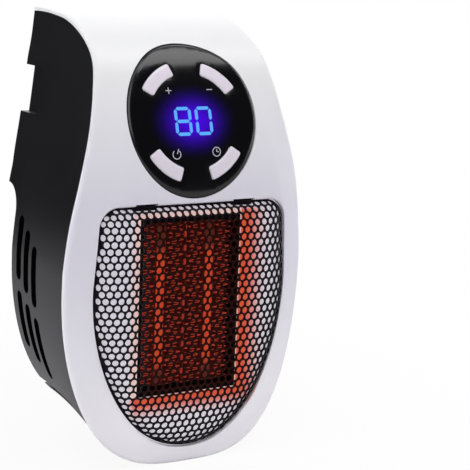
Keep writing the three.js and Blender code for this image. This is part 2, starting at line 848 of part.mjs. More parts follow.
function rearHousing() {
  let shape = housingBlank();
  let hollow = housingHollow();
  for (const side of [-1, 1]) {
    shape = shape.subtract(notch(side, 0)).subtract(groove(side, 0));
    hollow = hollow.subtract(notch(side, housingWall)).subtract(groove(side, housingWall));
  }
  const pad = rodX(rockerDepth, rockerHeight, rockerPadRadius, rockerPadFace - rockerPad, rockerPadFace);
  const spot = rodX(rockerDepth, rockerHeight, rockerPadRadius, rockerPadFace, bodyHalfWidth);
  let housing = shape.subtract(hollow).subtract(spot).add(pad);
  for (const side of [-1, 1]) {
    for (const { x, z, joint } of caseScrews) {
      housing = housing.add(rodY(side * x, z, caseTubeRadius, joint, rearFace, 12).intersect(shape));
    }
  }
  for (const side of [-1, 1]) {
    const post = rodY(side * retainerSpread, plugHeight, postRadius,
      retainerFace + seat, blockDepth - seat, 10);
    housing = housing.add(post).subtract(rodY(side * retainerSpread, plugHeight, smallShank + seat,
      retainerFace, retainerFace + retainerScrewGrip, 8));
    housing = housing.add(prismY(slotPoints(side * padSpread, plugHeight - padDrop - padHalfLength,
      plugHeight - padDrop + padHalfLength, padWidth, 3), blockDepth - padSunk, blockDepth + padProud));
  }
  for (const side of [-1, 1]) {
    for (const { x, z, joint } of caseScrews) {
      housing = housing.subtract(rodY(side * x, z, caseTubeBore,
        joint + caseTubeFloor, rearFace + overrun, 14));
      housing = housing.subtract(rodY(side * x, z, screwShank + seat, joint - overrun, joint + overrun, 8));
    }
  }
  const fromMiddle = (share) => blockMid + share * blockHalfHeight;
  for (const { depth, lower, upper } of ventShares) {
    for (const [low, high] of [lower, upper]) {
      const points = slotPoints(-depth * seamDepth, fromMiddle(low), fromMiddle(high), ventWidth, 3);
      housing = housing.subtract(prismX(points, -bodyHalfWidth, bodyHalfWidth));
    }
  }
  for (let i = -rearSlotPairs; i <= rearSlotPairs; i += 1) {
    for (const [low, high] of rearSlotShares) {
      const points = slotPoints(i * rearSlotPitch, fromMiddle(low), fromMiddle(high), rearSlotWidth, 2);
      housing = housing.subtract(prismY(points, -overrun, overrun));
    }
  }
  const well = rodX(rockerDepth, rockerHeight, rockerBodyRadius + seat, 0, bodyHalfWidth);
  const bore = rodY(0, plugHeight, plugRadius + seat, 0, rearFace, 32);
  return housing.subtract(well).subtract(bore);
}

// Grille: a rolled sheet with a grid of six-sided holes
function rollHeight(distance) {
  const inward = 1 - Math.min(distance / grilleRoll, 1);
  return Math.sqrt(1 - inward * inward);
}

const grilleRings = grilleRingShares.map((share) => share * grilleRoll);
function grilleSheetSolid() {
  const edgePoints = grillePoints(0);
  const centre = [0, (grilleTop + grilleBottom) / 2];
  const surface = (sunk) => grilleRings.map((inset) => edgePoints.map(([x, z]) => {
    const reach = Math.hypot(x - centre[0], z - centre[1]);
    const share = Math.max(1 - inset / reach, 0);
    const rise = (grilleProud - seat) * rollHeight(inset) + seat + grilleSheet - sunk;
    return new THREE.Vector3(x * share, -trayFloor - rise, centre[1] + (z - centre[1]) * share);
  }));
  const front = surface(0);
  const back = surface(grilleSheet).reverse();
  return loft([...front.reverse(), ...back.reverse()]);
}

function grille() {
  let sheet = grilleSheetSolid();
  const rise = (holePitch * Math.sqrt(3)) / 2;
  const middle = (grilleTop + grilleBottom) / 2;
  const rows = Math.ceil((grilleTop - grilleBottom) / 2 / rise);
  const columns = Math.ceil(grilleHalfWidth / holePitch);
  const limit = grillePoints(-holeMargin - holeSize / 2);
  const cutters = [];
  for (let r = -rows; r <= rows; r += 1) {
    for (let c = -columns; c <= columns; c += 1) {
      const x = (c + (r % 2 ? 0.5 : 0)) * holePitch;
      const z = middle + r * rise;
      if (inside(x, z, limit)) {
        cutters.push(rodY(x, z, holeSize / 2, -trayFloor - grilleProud - overrun, 0, 6));
      }
    }
  }
  for (const cutter of cutters) sheet = sheet.subtract(cutter);
  for (const x of clipPlaces) sheet = sheet.add(clipTab(x, 0));
  return sheet;
}

function inside(x, z, points) {
  let within = false;
  for (let i = 0, j = points.length - 1; i < points.length; j = i, i += 1) {
    const [xi, zi] = points[i];
    const [xj, zj] = points[j];
    if (zi > z !== zj > z && x < ((xj - xi) * (z - zi)) / (zj - zi) + xi) within = !within;
  }
  return within;
}

// Heating block, from the front: frame, fins, ceramic bars, plates and end caps
const frameFront = -trayFloor;
const frameRear = frameFront + frameLength;
const finsFront = frameFront + blockRecess;
const finsRear = finsFront + blockThick;
const barLow = blockLow + endCapHeight + 2 * seat;
const barHigh = blockHigh - endCapHeight - 2 * seat;
const terminalTop = blockHigh + frameWall + terminalRise;
const terminalDepth = (finsFront + finsRear) / 2;

function terminalTab(side, grow) {
  const x = side * barCentre;
  return block([x - terminalHalf - grow, x + terminalHalf + grow],
    [terminalDepth - terminalThick / 2 - grow, terminalDepth + terminalThick / 2 + grow],
    [barHigh - overrun, terminalTop + grow * overrun]);
}

function heaterFrame() {
  const half = blockHalfWidth + frameWall;
  const tall = blockHalfHeight + frameWall;
  const flangeFront = trayWall - trayFloor + seat;
  let frame = block([-half, half], [frameFront, frameRear], [blockMid - tall, blockMid + tall]);
  frame = frame.add(block([-half - flangeReach, half + flangeReach],
    [flangeFront, flangeFront + flangeThick],
    [blockMid - tall - flangeReach / 2, blockMid + tall + flangeReach / 2]));
  frame = frame.subtract(block([-blockHalfWidth, blockHalfWidth],
    [frameFront - overrun, frameRear + overrun], [blockLow, blockHigh]));
  const stops = [blockLow, blockHigh - frameLip].map((z) => block(
    [-blockHalfWidth - seat, blockHalfWidth + seat],
    [finsRear + seat, finsRear + seat + frameLip], [z - seat, z + frameLip + seat]));
  frame = join([frame, ...stops]);
  return frame.subtract(terminalTab(-1, seat)).subtract(terminalTab(1, seat));
}

function finColumn(x0, x1) {
  const fold = (barHigh - barLow) / finFolds;
  const slant = (finSheet * Math.hypot(x1 - x0, fold)) / fold;
  const left = [];
  const right = [];
  for (let i = 0; i <= finFolds; i += 1) {
    const z = barLow + fold * i;
    left.push([i % 2 ? x1 - slant : x0, z]);
    right.push([i % 2 ? x1 : x0 + slant, z]);
  }
  return prismY([...right, ...left.reverse()], finsFront, finsRear);
}

function heatingPieces() {
  const silver = finish(0x9a948f, 0.4, 0.8);
  const barHalf = barWidth / 2;
  const columns = [
    ['inner', plateThick / 2 + seat, barCentre - barHalf - seat],
    ['outer', barCentre + barHalf + seat, blockHalfWidth - seat],
  ];
  for (const [side, word] of [[-1, 'left'], [1, 'right']]) {
    for (const [place, x0, x1] of columns) {
      const [a, b] = side > 0 ? [x0, x1] : [-x1, -x0];
      addPiece(`fins_${word}_${place}`, finColumn(a, b), silver.clone());
    }
    const bar = block([side * barCentre - barHalf, side * barCentre + barHalf],
      [finsFront, finsRear], [barLow, barHigh]);
    const tab = terminalTab(side, 0).subtract(bar.add(block([-blockHalfWidth, blockHalfWidth],
      [finsFront, finsRear], [barLow, barHigh])));
    addPiece(`ceramic_bar_${word}`, bar.add(tab), finish(0xb9a79a, 0.5, 0.6));
  }
  addPiece('centre_plate', block([-plateThick / 2, plateThick / 2], [finsFront, finsRear],
    [barLow, barHigh]), finish(0xa9a39d, 0.4, 0.8));
  const capHalf = blockHalfWidth - seat;
  addPiece('end_cap_bottom', block([-capHalf, capHalf], [finsFront, finsRear],
    [blockLow + seat, blockLow + seat + endCapHeight]), finish(0x18161a, 0.6));
  const topCap = block([-capHalf, capHalf], [finsFront, finsRear],
    [blockHigh - seat - endCapHeight, blockHigh - seat]);
  addPiece('end_cap_top', topCap.subtract(terminalTab(-1, seat)).subtract(terminalTab(1, seat)),
    finish(0x18161a, 0.6));
}

// Thermal cut-out, lying on top of the heater frame
function thermalCutout() {
  const base = blockHigh + frameWall + seat;
  const rear = frameRear - seat;
  return block([-cutoutHalfWidth, cutoutHalfWidth], [rear - cutoutDepth, rear], [base, base + cutoutTall]);
}

// Fan shroud, impeller, shaft and motor
const shroudEar = blockHalfWidth + frameWall + flangeReach + postRadius + shroudEarGap;
const shroudEarRise = shroudEarShare * blockHalfHeight;
const shroudEarHeights = [blockMid - shroudEarRise, blockMid + shroudEarRise];
const shroudFront = frameRear + seat;
const shroudEarFace = shroudFront - shroudEarSink;
const ductRear = shroudFront + ductLength;
const ringRear = ductRear + ringLength;
const shelfHalf = ringRadius - shelfInset;
const shelfRear = ringRear + shelfReach;
const boardHalf = shelfHalf + boardOverhang;
const boardPost = boardHalf - boardPostInset;
const boardFront = ductRear - ductWall + seat;
const boardRear = shelfRear + boardTail;
const boardDepth = boardRear - boardFront;
const boardPostDepths = [boardFront + boardInset, shelfRear - boardInset];

function fanShroud() {
  const halfX = blockHalfWidth + frameWall;
  const halfZ = blockHalfHeight + frameWall;
  const plateHalfZ = Math.max(ringRadius, halfZ) + ductWall;
  const plateHalfX = ringRadius + ductWall;
  let shroud = block([-halfX - ductWall / 2, halfX + ductWall / 2], [shroudFront, ductRear],
    [blockMid - halfZ, blockMid + halfZ]);
  shroud = shroud.add(block([-plateHalfX, plateHalfX], [ductRear - ductWall, ductRear],
    [blockMid - plateHalfZ, blockMid + plateHalfZ]));
  shroud = shroud.add(rodY(0, blockMid, ringRadius + ductWall, ductRear - ductWall, ringRear, 28));
  shroud = shroud.add(block([-shelfHalf, shelfHalf], [ductRear - ductWall, shelfRear],
    [shelfTop - shelfThick, shelfTop]));
  shroud = shroud.add(block([-shelfHalf, shelfHalf], [ductRear - ductWall, ductRear], [blockMid, shelfTop]));
  for (const x of [-shelfHalf + postRadius, 0, shelfHalf - postRadius]) {
    shroud = shroud.add(block([x - ribHalf, x + ribHalf], [ductRear - ductWall, ringRear],
      [blockMid + ringRadius / 2, shelfTop]));
  }
  for (const side of [-1, 1]) {
    for (const z of shroudEarHeights) {
      const earRear = shroudEarFace + shroudEarThick;
      const ear = rodY(side * shroudEar, z, shroudEarRadius, shroudEarFace, earRear, 8);
      const arm = block(side > 0 ? [halfX, shroudEar] : [-shroudEar, -halfX],
        [shroudFront, earRear], [z - shroudEarRadius / 2, z + shroudEarRadius / 2]);
      shroud = shroud.add(ear).add(arm);
      shroud = shroud.subtract(rodY(side * shroudEar, z, smallShank + seat,
        shroudEarFace - overrun, earRear + overrun, 8));
    }
    for (const y of boardPostDepths) {
      const x = side * boardPost;
      shroud = shroud.add(rodZ(x, y, postRadius, shelfTop - shelfThick, boardLow - seat, 10));
      shroud = shroud.add(rodZ(x, y, smallShank, shelfTop, boardTop + pinProud, 8));
    }
  }
  shroud = shroud.subtract(rodY(0, blockMid, ringRadius, ductRear - overrun, ringRear + overrun, 28));
  shroud = shroud.subtract(block([-blockHalfWidth, blockHalfWidth],
    [shroudFront - overrun, ductRear - ductWall], [blockLow, blockHigh]));
  let spider = rodY(0, blockMid, motorRadius, ringRear - motorPlate, ringRear, 24);
  for (let i = 0; i < strutCount; i += 1) {
    const turn = (2 * halfTurn * i) / strutCount;
    const strut = block([-strutWidth / 2, strutWidth / 2], [ringRear - motorPlate, ringRear],
      [0, ringRadius + ductWall / 2]);
    spider = spider.add(moved(turned(strut, axisY, turn), 0, 0, blockMid));
  }
  spider = spider.subtract(rodY(0, blockMid, shaftRadius + shaftClear,
    ringRear - overrun, ringRear + overrun, 12));
  for (const side of [-1, 1]) {
    spider = spider.subtract(rodY(side * motorScrewSpread, blockMid, smallShank + seat,
      ringRear - overrun, ringRear + overrun, 8));
  }
  return shroud.add(spider);
}

const hubRear = ringRear - motorPlate - hubGap;
const hubFront = hubRear - hubLength;
function impeller() {
  let wheel = rodY(0, 0, hubRadius, hubFront, hubRear, 28);
  for (let i = 0; i < fanBlades; i += 1) {
    const blade = block([-bladeChord / 2, bladeChord / 2], [-bladeThick / 2, bladeThick / 2],
      [hubRadius - hubRoot, fanRadius + overrun]);
    const placed = moved(turned(blade, axisZ, bladePitchAngle), 0, (hubFront + hubRear) / 2, 0);
    wheel = wheel.add(turned(placed, axisY, (2 * halfTurn * i) / fanBlades));
  }
  wheel = wheel.intersect(rodY(0, 0, fanRadius, hubFront, hubRear, 48));
  wheel = wheel.subtract(rodY(0, 0, shaftRadius + seat, hubFront + motorPlate, hubRear + overrun, 16));
  return moved(wheel, 0, 0, blockMid);
}

const motorFront = ringRear + seat;
const motorRear = motorFront + motorLength;
const shaftRear = motorRear - motorEnd;
function motor() {
  let can = rodY(0, blockMid, motorRadius, motorFront, motorRear, 28);
  can = can.subtract(rodY(0, blockMid, shaftRadius + seat, motorFront - overrun, shaftRear + seat, 16));
  for (const side of [-1, 1]) {
    can = can.subtract(rodY(side * motorScrewSpread, blockMid, smallShank + seat, motorFront - overrun,
      ringRear - motorPlate + smallScrewLength, 8));
  }
  return can;
}

function motorShaft() {
  return rodY(0, blockMid, shaftRadius, hubFront + motorPlate + seat, shaftRear, 16);
}

// Control panel
function keySector(angle, grow, low, high, arcSteps = 4) {
  const points = [];
  const turn = (a) => (halfTurn / 2 - a) * degree;
  const spread = (radius) => keySpanAngle / 2 + grow / radius / degree;
  for (let i = 0; i <= arcSteps; i += 1) {
    const a = angle + spread(keyOuter) * (1 - (2 * i) / arcSteps);
    points.push([(keyOuter + grow) * Math.cos(turn(a)), (keyOuter + grow) * Math.sin(turn(a)) - keyDrop]);
  }
  for (let i = 0; i <= arcSteps; i += 1) {
    const a = angle - spread(keyInner) * (1 - (2 * i) / arcSteps);
    points.push([(keyInner - grow) * Math.cos(turn(a)), (keyInner - grow) * Math.sin(turn(a)) - keyDrop]);
  }
  return panelPrism(points, low, high);
}

function controlLens() {
  let lens = panelOval(0, -2 * overrun, 3 * overrun).intersect(ribbon(-lensThick, 0));
  for (const angle of keyAngles) lens = lens.subtract(keySector(angle, lensGap, -2 * overrun, 3 * overrun));
  return lens;
}

const keyMidRadius = (keyInner + keyOuter) / 2;
function keyPlace(angle) {
  return [keyMidRadius * Math.sin(angle * degree), keyMidRadius * Math.cos(angle * degree) - keyDrop];
}

const stemFoot = panelBoardTop + switchHeight + plungerHeight + keyTravel + stemGap;
function key(angle) {
  const cap = keySector(angle, 0, -2 * overrun, 3 * overrun).intersect(ribbon(-keyDepth, keyProud));
  const flange = keySector(angle, keyFlange, -2 * overrun, 3 * overrun)
    .intersect(ribbon(-lensThick - seat - keyFlangeThick, -lensThick - seat));
  const [a, b] = keyPlace(angle);
  const stem = panelPrism(ovalPoints(a, b, stemRadius, stemRadius, 10), stemFoot, 3 * overrun)
    .intersect(ribbon(-3 * overrun, -lensThick / 2));
  return join([cap, flange, stem]);
}

function panelBoard() {
  const oval = ovalPoints(0, 0, panelBoardHalfWidth, panelBoardHalfHeight, 28);
  let board = panelPrism(oval, panelBoardTop - boardThick, panelBoardTop);
  for (const side of [-1, 1]) {
    const hole = ovalPoints(side * panelPost, 0, smallShank + seat, smallShank + seat, 8);
    board = board.subtract(panelPrism(hole, panelBoardTop - boardThick - overrun, panelBoardTop + overrun));
  }
  return board;
}

function tactSwitch(angle) {
  const [a, b] = keyPlace(angle);
  const h = switchSide / 2;
  const square = [[a - h, b - h], [a + h, b - h], [a + h, b + h], [a - h, b + h]];
  const base = panelPrism(square, panelBoardTop + seat, panelBoardTop + switchHeight);
  const plunger = panelPrism(ovalPoints(a, b, plungerRadius, plungerRadius, 8), panelBoardTop + seat,
    panelBoardTop + switchHeight + plungerHeight);
  return base.add(plunger);
}

function displayModule() {
  const w = displayHalfWidth;
  const h = displayHalfHeight;
  const rectangle = [[-w, -h], [w, -h], [w, h], [-w, h]];
  return panelPrism(rectangle, panelBoardTop + seat, panelBulge)
    .intersect(ribbon(-4 * overrun, -lensThick - seat));
}

// Screws: a slotted round head and a shank, along Y with the head at the +Y end
function screwSolid(shank, head, headTall, length, slot, crossed) {
  const stem = rodY(0, 0, shank, -length, headTall / 2, 6);
  const cap = rodY(0, 0, head, 0, headTall, 10);
  const [wide, deep, narrow] = [[-head, head], [headTall / 2, headTall + overrun], [-slot / 2, slot / 2]];
  let screw = stem.add(cap).subtract(block(wide, deep, narrow));
  if (crossed) screw = screw.subtract(block(narrow, deep, wide));
  return screw;
}

function caseScrew() {
  return screwSolid(screwShank, screwHead, screwHeadTall, caseScrewGrip, screwSlot, true);
}

function smallScrew() {
  return screwSolid(smallShank, smallHead, smallHeadTall, smallScrewLength - seat, smallSlot, false);
}

function addScrews() {
  const steel = finish(0x8d8f93, 0.35, 0.9);
  const zinc = finish(0xb4b6ba, 0.35, 0.9);
  for (const [side, word] of [[-1, 'left'], [1, 'right']]) {
    caseScrews.forEach(({ x, z, joint }, i) => {
      const placed = moved(caseScrew(), side * x, joint + caseTubeFloor + seat, z);
      addPiece(`case_screw_${i ? 'top' : 'bottom'}_${word}`, placed, steel.clone());
    });
    shroudEarHeights.forEach((z, i) => {
      const placed = moved(smallScrew(), side * shroudEar, shroudEarFace + shroudEarThick + seat, z);
      addPiece(`shroud_screw_${i ? 'top' : 'bottom'}_${word}`, placed, zinc.clone());
    });
    const motorScrew = turned(smallScrew(), axisZ, halfTurn);
    addPiece(`motor_screw_${word}`, moved(motorScrew, side * motorScrewSpread,
      ringRear - motorPlate - seat, blockMid), zinc.clone());
    const retainerScrew = turned(smallScrew(), axisZ, halfTurn);
    addPiece(`retainer_screw_${word}`, moved(retainerScrew, side * retainerSpread,
      retainerFace - retainerThick - seat, plugHeight), zinc.clone());
  }
}

// Mains plug: turning disc, two blades and a ground pin
function bladeSolid(side, grow) {
  const x = side * bladeSpread;
  const z = plugHeight + bladeRise;
  const half = bladeGauge / 2 + grow;
  const wide = bladeWidth / 2 + grow;
  const tip = rearFace + bladeLength;
  const root = rearFace - pinRoot;
  const chamfer = bladeGauge;
  const points = [[root - grow, z - wide], [tip - chamfer, z - wide], [tip, z - wide + chamfer],
    [tip, z + wide - chamfer], [tip - chamfer, z + wide], [root - grow, z + wide]];
  return prismX(points, x - half, x + half);
}

function plugBlade(side) {
  const hole = rodX(rearFace + bladeLength - bladeHoleInset, plugHeight + bladeRise, bladeHoleRadius,
    -plugRadius, plugRadius, 16);
  return bladeSolid(side, 0).subtract(hole);
}

function groundPin(grow) {
  const root = rearFace - pinRoot - grow;
  const tip = rearFace + pinLength;
  const r = pinRadius + grow;
  const rounded = pinTipShares.map(([wide, back]) => [r * wide, tip - pinRadius * back]);
  const profile = [[0, root], [r, root], ...rounded].map(([x, y]) => new THREE.Vector2(x, y));
  const geometry = new THREE.LatheGeometry(profile, 20);
  return outwardGeometry(geometry.translate(0, 0, plugHeight - pinDrop));
}

function outwardGeometry(geometry) {
  geometry.deleteAttribute('normal');
  geometry.deleteAttribute('uv');
  const merged = mergeVertices(geometry);
  return outward([...merged.attributes.position.array], [...merged.index.array]);
}

const flangeRear = blockDepth - housingWall - seat;
const retainerFace = flangeRear - plugFlangeThick - seat;
function plugDisc() {
  const flangeFront = flangeRear - plugFlangeThick;
  let disc = rodY(0, plugHeight, plugRadius, flangeRear - seat, rearFace, 32);
  disc = disc.add(rodY(0, plugHeight, plugRadius + plugFlange, flangeFront, flangeRear, 28));
  disc = disc.add(rodY(0, plugHeight, spigotRadius, flangeFront - spigotLength, flangeRear, 20));
  return disc.subtract(bladeSolid(-1, seat)).subtract(bladeSolid(1, seat)).subtract(groundPin(seat));
}

function plugRetainer() {
  const front = retainerFace - retainerThick;
  let plate = rodY(0, plugHeight, retainerRadius, front, retainerFace, 24);
  for (const side of [-1, 1]) {
    plate = plate.add(rodY(side * retainerSpread, plugHeight, retainerEar, front, retainerFace, 12));
    plate = plate.subtract(rodY(side * retainerSpread, plugHeight, smallShank + seat,
      front - overrun, retainerFace + overrun, 8));
  }
  return plate.subtract(rodY(0, plugHeight, spigotRadius + seat,
    front - overrun, retainerFace + overrun, 24));
}

// Rocker switch
const rockerPivotX = rockerPadFace + seat;
const rockerSwing = rockerRadius * Math.sin(rockerTiltAngle * degree);
const rockerWellFloor = rockerPivotX - rockerSwing - rockerHalfThick - 2 * seat;
const rockerBodyInner = rockerPadFace - rockerBodyLength;
function rockerHousing() {
  const face = rockerPadFace + rockerBezelProud + seat;
  let holder = rodX(rockerDepth, rockerHeight, rockerBodyRadius, rockerBodyInner, face, 24);
  holder = holder.add(rodX(rockerDepth, rockerHeight, rockerBezelRadius, rockerPadFace + seat, face, 32));
  for (const side of [-1, 1]) holder = holder.add(rockerTab(side));
  return holder.subtract(rodX(rockerDepth, rockerHeight, rockerWellRadius,
    rockerWellFloor, face + overrun, 28));
}

function rocker() {
  const t = rockerHalfThick;
  const r = rockerRadius;
  const outline = [[-t, -r], [t, -r], [t - rockerDish, 0], [t, r], [-t, r]];
  const wedge = prismY(outline, -r - overrun, r + overrun);
  const cap = wedge.intersect(rodX(0, 0, r, -2 * t, 2 * t, 32));
  return moved(turned(cap, axisY, -rockerTiltAngle), rockerPivotX, rockerDepth, rockerHeight);
}

function rockerTab(side) {
  const z = rockerHeight + side * tabSpread;
  return block([rockerBodyInner - tabLength, rockerBodyInner + seat],
    [rockerDepth - tabHalf, rockerDepth + tabHalf], [z - tabThick / 2, z + tabThick / 2]);
}

// Power board on the shroud's shelf, with what stands on it
function powerBoard() {
  let board = block([-boardHalf, boardHalf], [boardFront, boardRear], [boardLow, boardTop]);
  for (const side of [-1, 1]) {
    for (const y of boardPostDepths) {
      board = board.subtract(rodZ(side * boardPost, y, smallShank + seat,
        boardLow - overrun, boardTop + overrun, 8));
    }
  }
  return board;
}

// Pieces on the board: places as shares of the board's half width and of its depth
const relay = { shares: { x: [-0.71, -0.42], y: [0.148, 0.852] }, tall: 15 };
const filter = { shares: { x: [-0.274, 0.274], y: [0.093, 0.352] }, tall: 12 };
const connector = { shares: { x: [-0.242, 0.242], y: [0.519, 0.815] }, tall: 9 };
const can = { shares: { x: 0.613, y: 0.407 }, radius: 4.2, tall: 13 };

function onBoard({ shares, tall }) {
  return block(shares.x.map((share) => share * boardHalf),
    shares.y.map((share) => boardFront + share * boardDepth), [boardTop + seat, boardTop + tall]);
}

function boardPieces() {
  addPiece('power_board', powerBoard(), finish(0x1f5a34, 0.5));
  addPiece('relay', onBoard(relay), finish(0x1c5fa8, 0.4));
  addPiece('filter_capacitor', onBoard(filter), finish(0xd9b23a, 0.45));
  addPiece('mains_connector', onBoard(connector), finish(0x2f8c4a, 0.5));
  const round = rodZ(can.shares.x * boardHalf, boardFront + can.shares.y * boardDepth, can.radius,
    boardTop + seat, boardTop + can.tall, 16);
  addPiece('smoothing_capacitor', round, finish(0x20243a, 0.35, 0.2));
}

// Leads: each is one bend from a start to an end, leaving along given directions
function lead(start, startWay, end, endWay, radius, sides = 8, steps = 16) {
  const reach = start.distanceTo(end) / 2;
  const curve = new THREE.CubicBezierCurve3(start, start.clone().addScaledVector(startWay, reach),
    end.clone().addScaledVector(endWay, reach), end);
  const outline = ovalPoints(0, 0, radius, radius, sides);
  const section = new THREE.Shape(outline.map(([a, b]) => new THREE.Vector2(a, b)));
  const tube = new THREE.ExtrudeGeometry(section, { steps, bevelEnabled: false, extrudePath: curve });
  return outwardGeometry(tube);
}

function leads() {
  const down = axisZ.clone().negate();
  const forward = axisY.clone().negate();
  const inward = axisX.clone().negate();
  const spigotEnd = flangeRear - plugFlangeThick - spigotLength;
  const connectorY = boardFront + (boardDepth * (connector.shares.y[0] + connector.shares.y[1])) / 2;
  const plugStart = new THREE.Vector3(0, spigotEnd - seat, plugHeight);
  const plugEnd = new THREE.Vector3(0, connectorY, boardTop + connector.tall + seat);
  addPiece('mains_lead', lead(plugStart, forward, plugEnd, axisZ, mainsLeadRadius), finish(0x222226, 0.6));
  const switchStart = new THREE.Vector3(rockerBodyInner - tabLength - seat, rockerDepth, rockerHeight);
  const switchEnd = new THREE.Vector3(boardHalf * switchLeadShares.x,
    boardFront + boardDepth * switchLeadShares.y, boardTop + seat);
  addPiece('switch_lead', lead(switchStart, inward, switchEnd, axisZ, switchLeadRadius, 6, 10),
    finish(0x8a2a26, 0.6));
  for (const [side, word] of [[-1, 'left'], [1, 'right']]) {
    const start = new THREE.Vector3(side * barCentre, terminalDepth, terminalTop + seat);
    const end = new THREE.Vector3(side * barCentre, boardFront + wireRadius + seat, boardTop + seat);
    addPiece(`heater_lead_${word}`, lead(start, axisZ, end, axisZ, wireRadius, 6, 8), finish(0xb8b4ac, 0.6));
  }
  const motorStart = new THREE.Vector3(motorRadius / 2, motorRear - motorLeadRise,
    blockMid + motorRadius + seat);
  const motorEndPoint = new THREE.Vector3(motorRadius / 2, boardRear - wireRadius, boardLow - seat);
  addPiece('motor_lead', lead(motorStart, axisZ, motorEndPoint, down, wireRadius, 6, 8),
    finish(0x2b2b30, 0.6));
}

// Assembly
const boardGreen = 0x1f5a34;
addPiece('front_shell', frontShell(), white);
addPiece('rear_housing', rearHousing(), black);
addPiece('grille', grille(), finish(0x17161b, 0.45, 0.5));
addPiece('heater_frame', heaterFrame(), finish(0x141216, 0.6));
heatingPieces();
addPiece('thermal_cutout', thermalCutout(), finish(0x3a3a3e, 0.5, 0.3));
addPiece('fan_shroud', fanShroud(), finish(0x26262b, 0.6));
addPiece('impeller', impeller(), finish(0x2d2d33, 0.5));
addPiece('motor_shaft', motorShaft(), finish(0xbfc2c6, 0.25, 0.95));
addPiece('fan_motor', motor(), finish(0xa9acb1, 0.35, 0.9));
addPiece('control_lens', controlLens(), finish(0x08070c, 0.12));
keyAngles.forEach((angle, i) => {
  addPiece(keyNames[i], key(angle), finish(0xe4dff0, 0.35));
  addPiece(`tact_switch_${i + 1}`, tactSwitch(angle), finish(0x2a2a2c, 0.5));
});
addPiece('panel_board', panelBoard(), finish(boardGreen, 0.5));
addPiece('display_module', displayModule(), finish(0x1a1c30, 0.4));
addPiece('plug_disc', plugDisc(), finish(0x17161a, 0.45));
addPiece('plug_blade_left', plugBlade(-1), finish(0xc4c3be, 0.28, 0.95));
addPiece('plug_blade_right', plugBlade(1), finish(0xc4c3be, 0.28, 0.95));
addPiece('ground_pin', groundPin(0), finish(0xc4c3be, 0.28, 0.95));
addPiece('plug_retainer', plugRetainer(), finish(0x2a2a2f, 0.6));
addPiece('rocker_holder', rockerHousing(), finish(0x121114, 0.4));
addPiece('rocker', rocker(), finish(0x161519, 0.35));
boardPieces();
leads();
addScrews();

export default body;
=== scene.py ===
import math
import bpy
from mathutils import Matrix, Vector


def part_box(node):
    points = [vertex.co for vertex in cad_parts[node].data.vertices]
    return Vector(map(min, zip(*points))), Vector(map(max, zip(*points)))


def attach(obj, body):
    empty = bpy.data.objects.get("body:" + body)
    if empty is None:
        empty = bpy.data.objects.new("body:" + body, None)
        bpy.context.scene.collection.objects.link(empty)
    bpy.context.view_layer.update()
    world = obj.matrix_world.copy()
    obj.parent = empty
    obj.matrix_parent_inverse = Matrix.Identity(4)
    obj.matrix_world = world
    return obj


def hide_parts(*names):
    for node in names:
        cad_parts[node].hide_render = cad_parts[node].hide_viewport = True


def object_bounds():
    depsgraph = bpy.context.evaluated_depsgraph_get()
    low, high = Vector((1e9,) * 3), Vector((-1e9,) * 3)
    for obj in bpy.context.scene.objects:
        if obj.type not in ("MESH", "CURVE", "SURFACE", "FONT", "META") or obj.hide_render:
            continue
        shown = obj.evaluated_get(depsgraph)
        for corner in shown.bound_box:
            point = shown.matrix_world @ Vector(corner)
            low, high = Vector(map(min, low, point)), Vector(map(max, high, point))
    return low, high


bl_info = {
    "name": "Plug-in Fan Heater",
    "version": (1, 0, 0),
    "blender": (4, 5, 0),
    "location": "View3D > Sidebar > Heater",
    "description": "Dresses a plug-in fan heater: shell, housing, grille, panel, plug and switch",
    "category": "Add Mesh",
}

import bpy
import bmesh
import numpy as np
from bpy.props import FloatProperty, FloatVectorProperty, IntProperty, PointerProperty
from mathutils import Matrix, Vector
from mathutils.geometry import delaunay_2d_cdt

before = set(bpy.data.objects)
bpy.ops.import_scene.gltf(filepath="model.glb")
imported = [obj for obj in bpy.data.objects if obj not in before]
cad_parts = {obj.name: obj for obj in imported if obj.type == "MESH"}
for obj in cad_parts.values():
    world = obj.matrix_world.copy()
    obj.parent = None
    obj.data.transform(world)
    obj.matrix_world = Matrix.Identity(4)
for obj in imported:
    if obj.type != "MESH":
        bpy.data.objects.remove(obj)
CAD_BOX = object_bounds()

MM = 0.001
WELD = 1e-7
SIDES = {-1: "left", 1: "right"}

# The middle of the plug disc's face, which is the frame's origin
FACE_Y = 15.0
FACE_Z = 152.3

# Body outline, in millimetres from the foot of the rear wall
HEIGHT = 179.2
HALF_WIDTH = 54.2
WIDEST = 75.0
SEAM_DEPTH = 60.0
BLOCK_DEPTH = 12.2
BLOCK_UNDERSIDE = 107.5
COVE_HEIGHT = 11.5
HEEL_RISE = 9.0
SIDE_TAPER = 3.4
TAPER_REACH = 45.0
TAPER_LIMIT = 1.1
HOUSING_WALL = 2.0
SHELL_WALL = 2.2
SHELL_RIM = 2.4
CROWN = 4.4
CROWN_START = 160.03
CROWN_FULL = 91.93
FLANK = 11.0
SEAT = 0.3
BOTTOM_POWER = 3.17
SWEEP_POWER = 2.1
FLANK_POWER = 1.3
FLANK_SPREAD = 1.6
SEAM_SHARES = [
    (0.088, 0.997), (0.373, 0.984), (0.658, 0.945), (0.81, 0.904), (0.895, 0.844),
    (0.95, 0.78), (0.982, 0.713), (0.99, 0.647), (0.968, 0.551), (0.948, 0.436),
    (0.938, 0.322), (0.945, 0.208), (0.965, 0.098), (1.0, 0.0),
]
UPPER_SHARES = [
    (0, 1), (0.08, 0.997), (0.25, 0.96), (0.42, 0.897), (0.6, 0.814), (0.76, 0.749),
    (0.89, 0.7), (1, 0.674),
]

# How far cutting shapes run past what they cut
OVERRUN = 6.0
SIDE_REACH = 60.0
FOOT_REACH = -10.0
REAR_REACH = 20.0
PANEL_REACH = 14.0

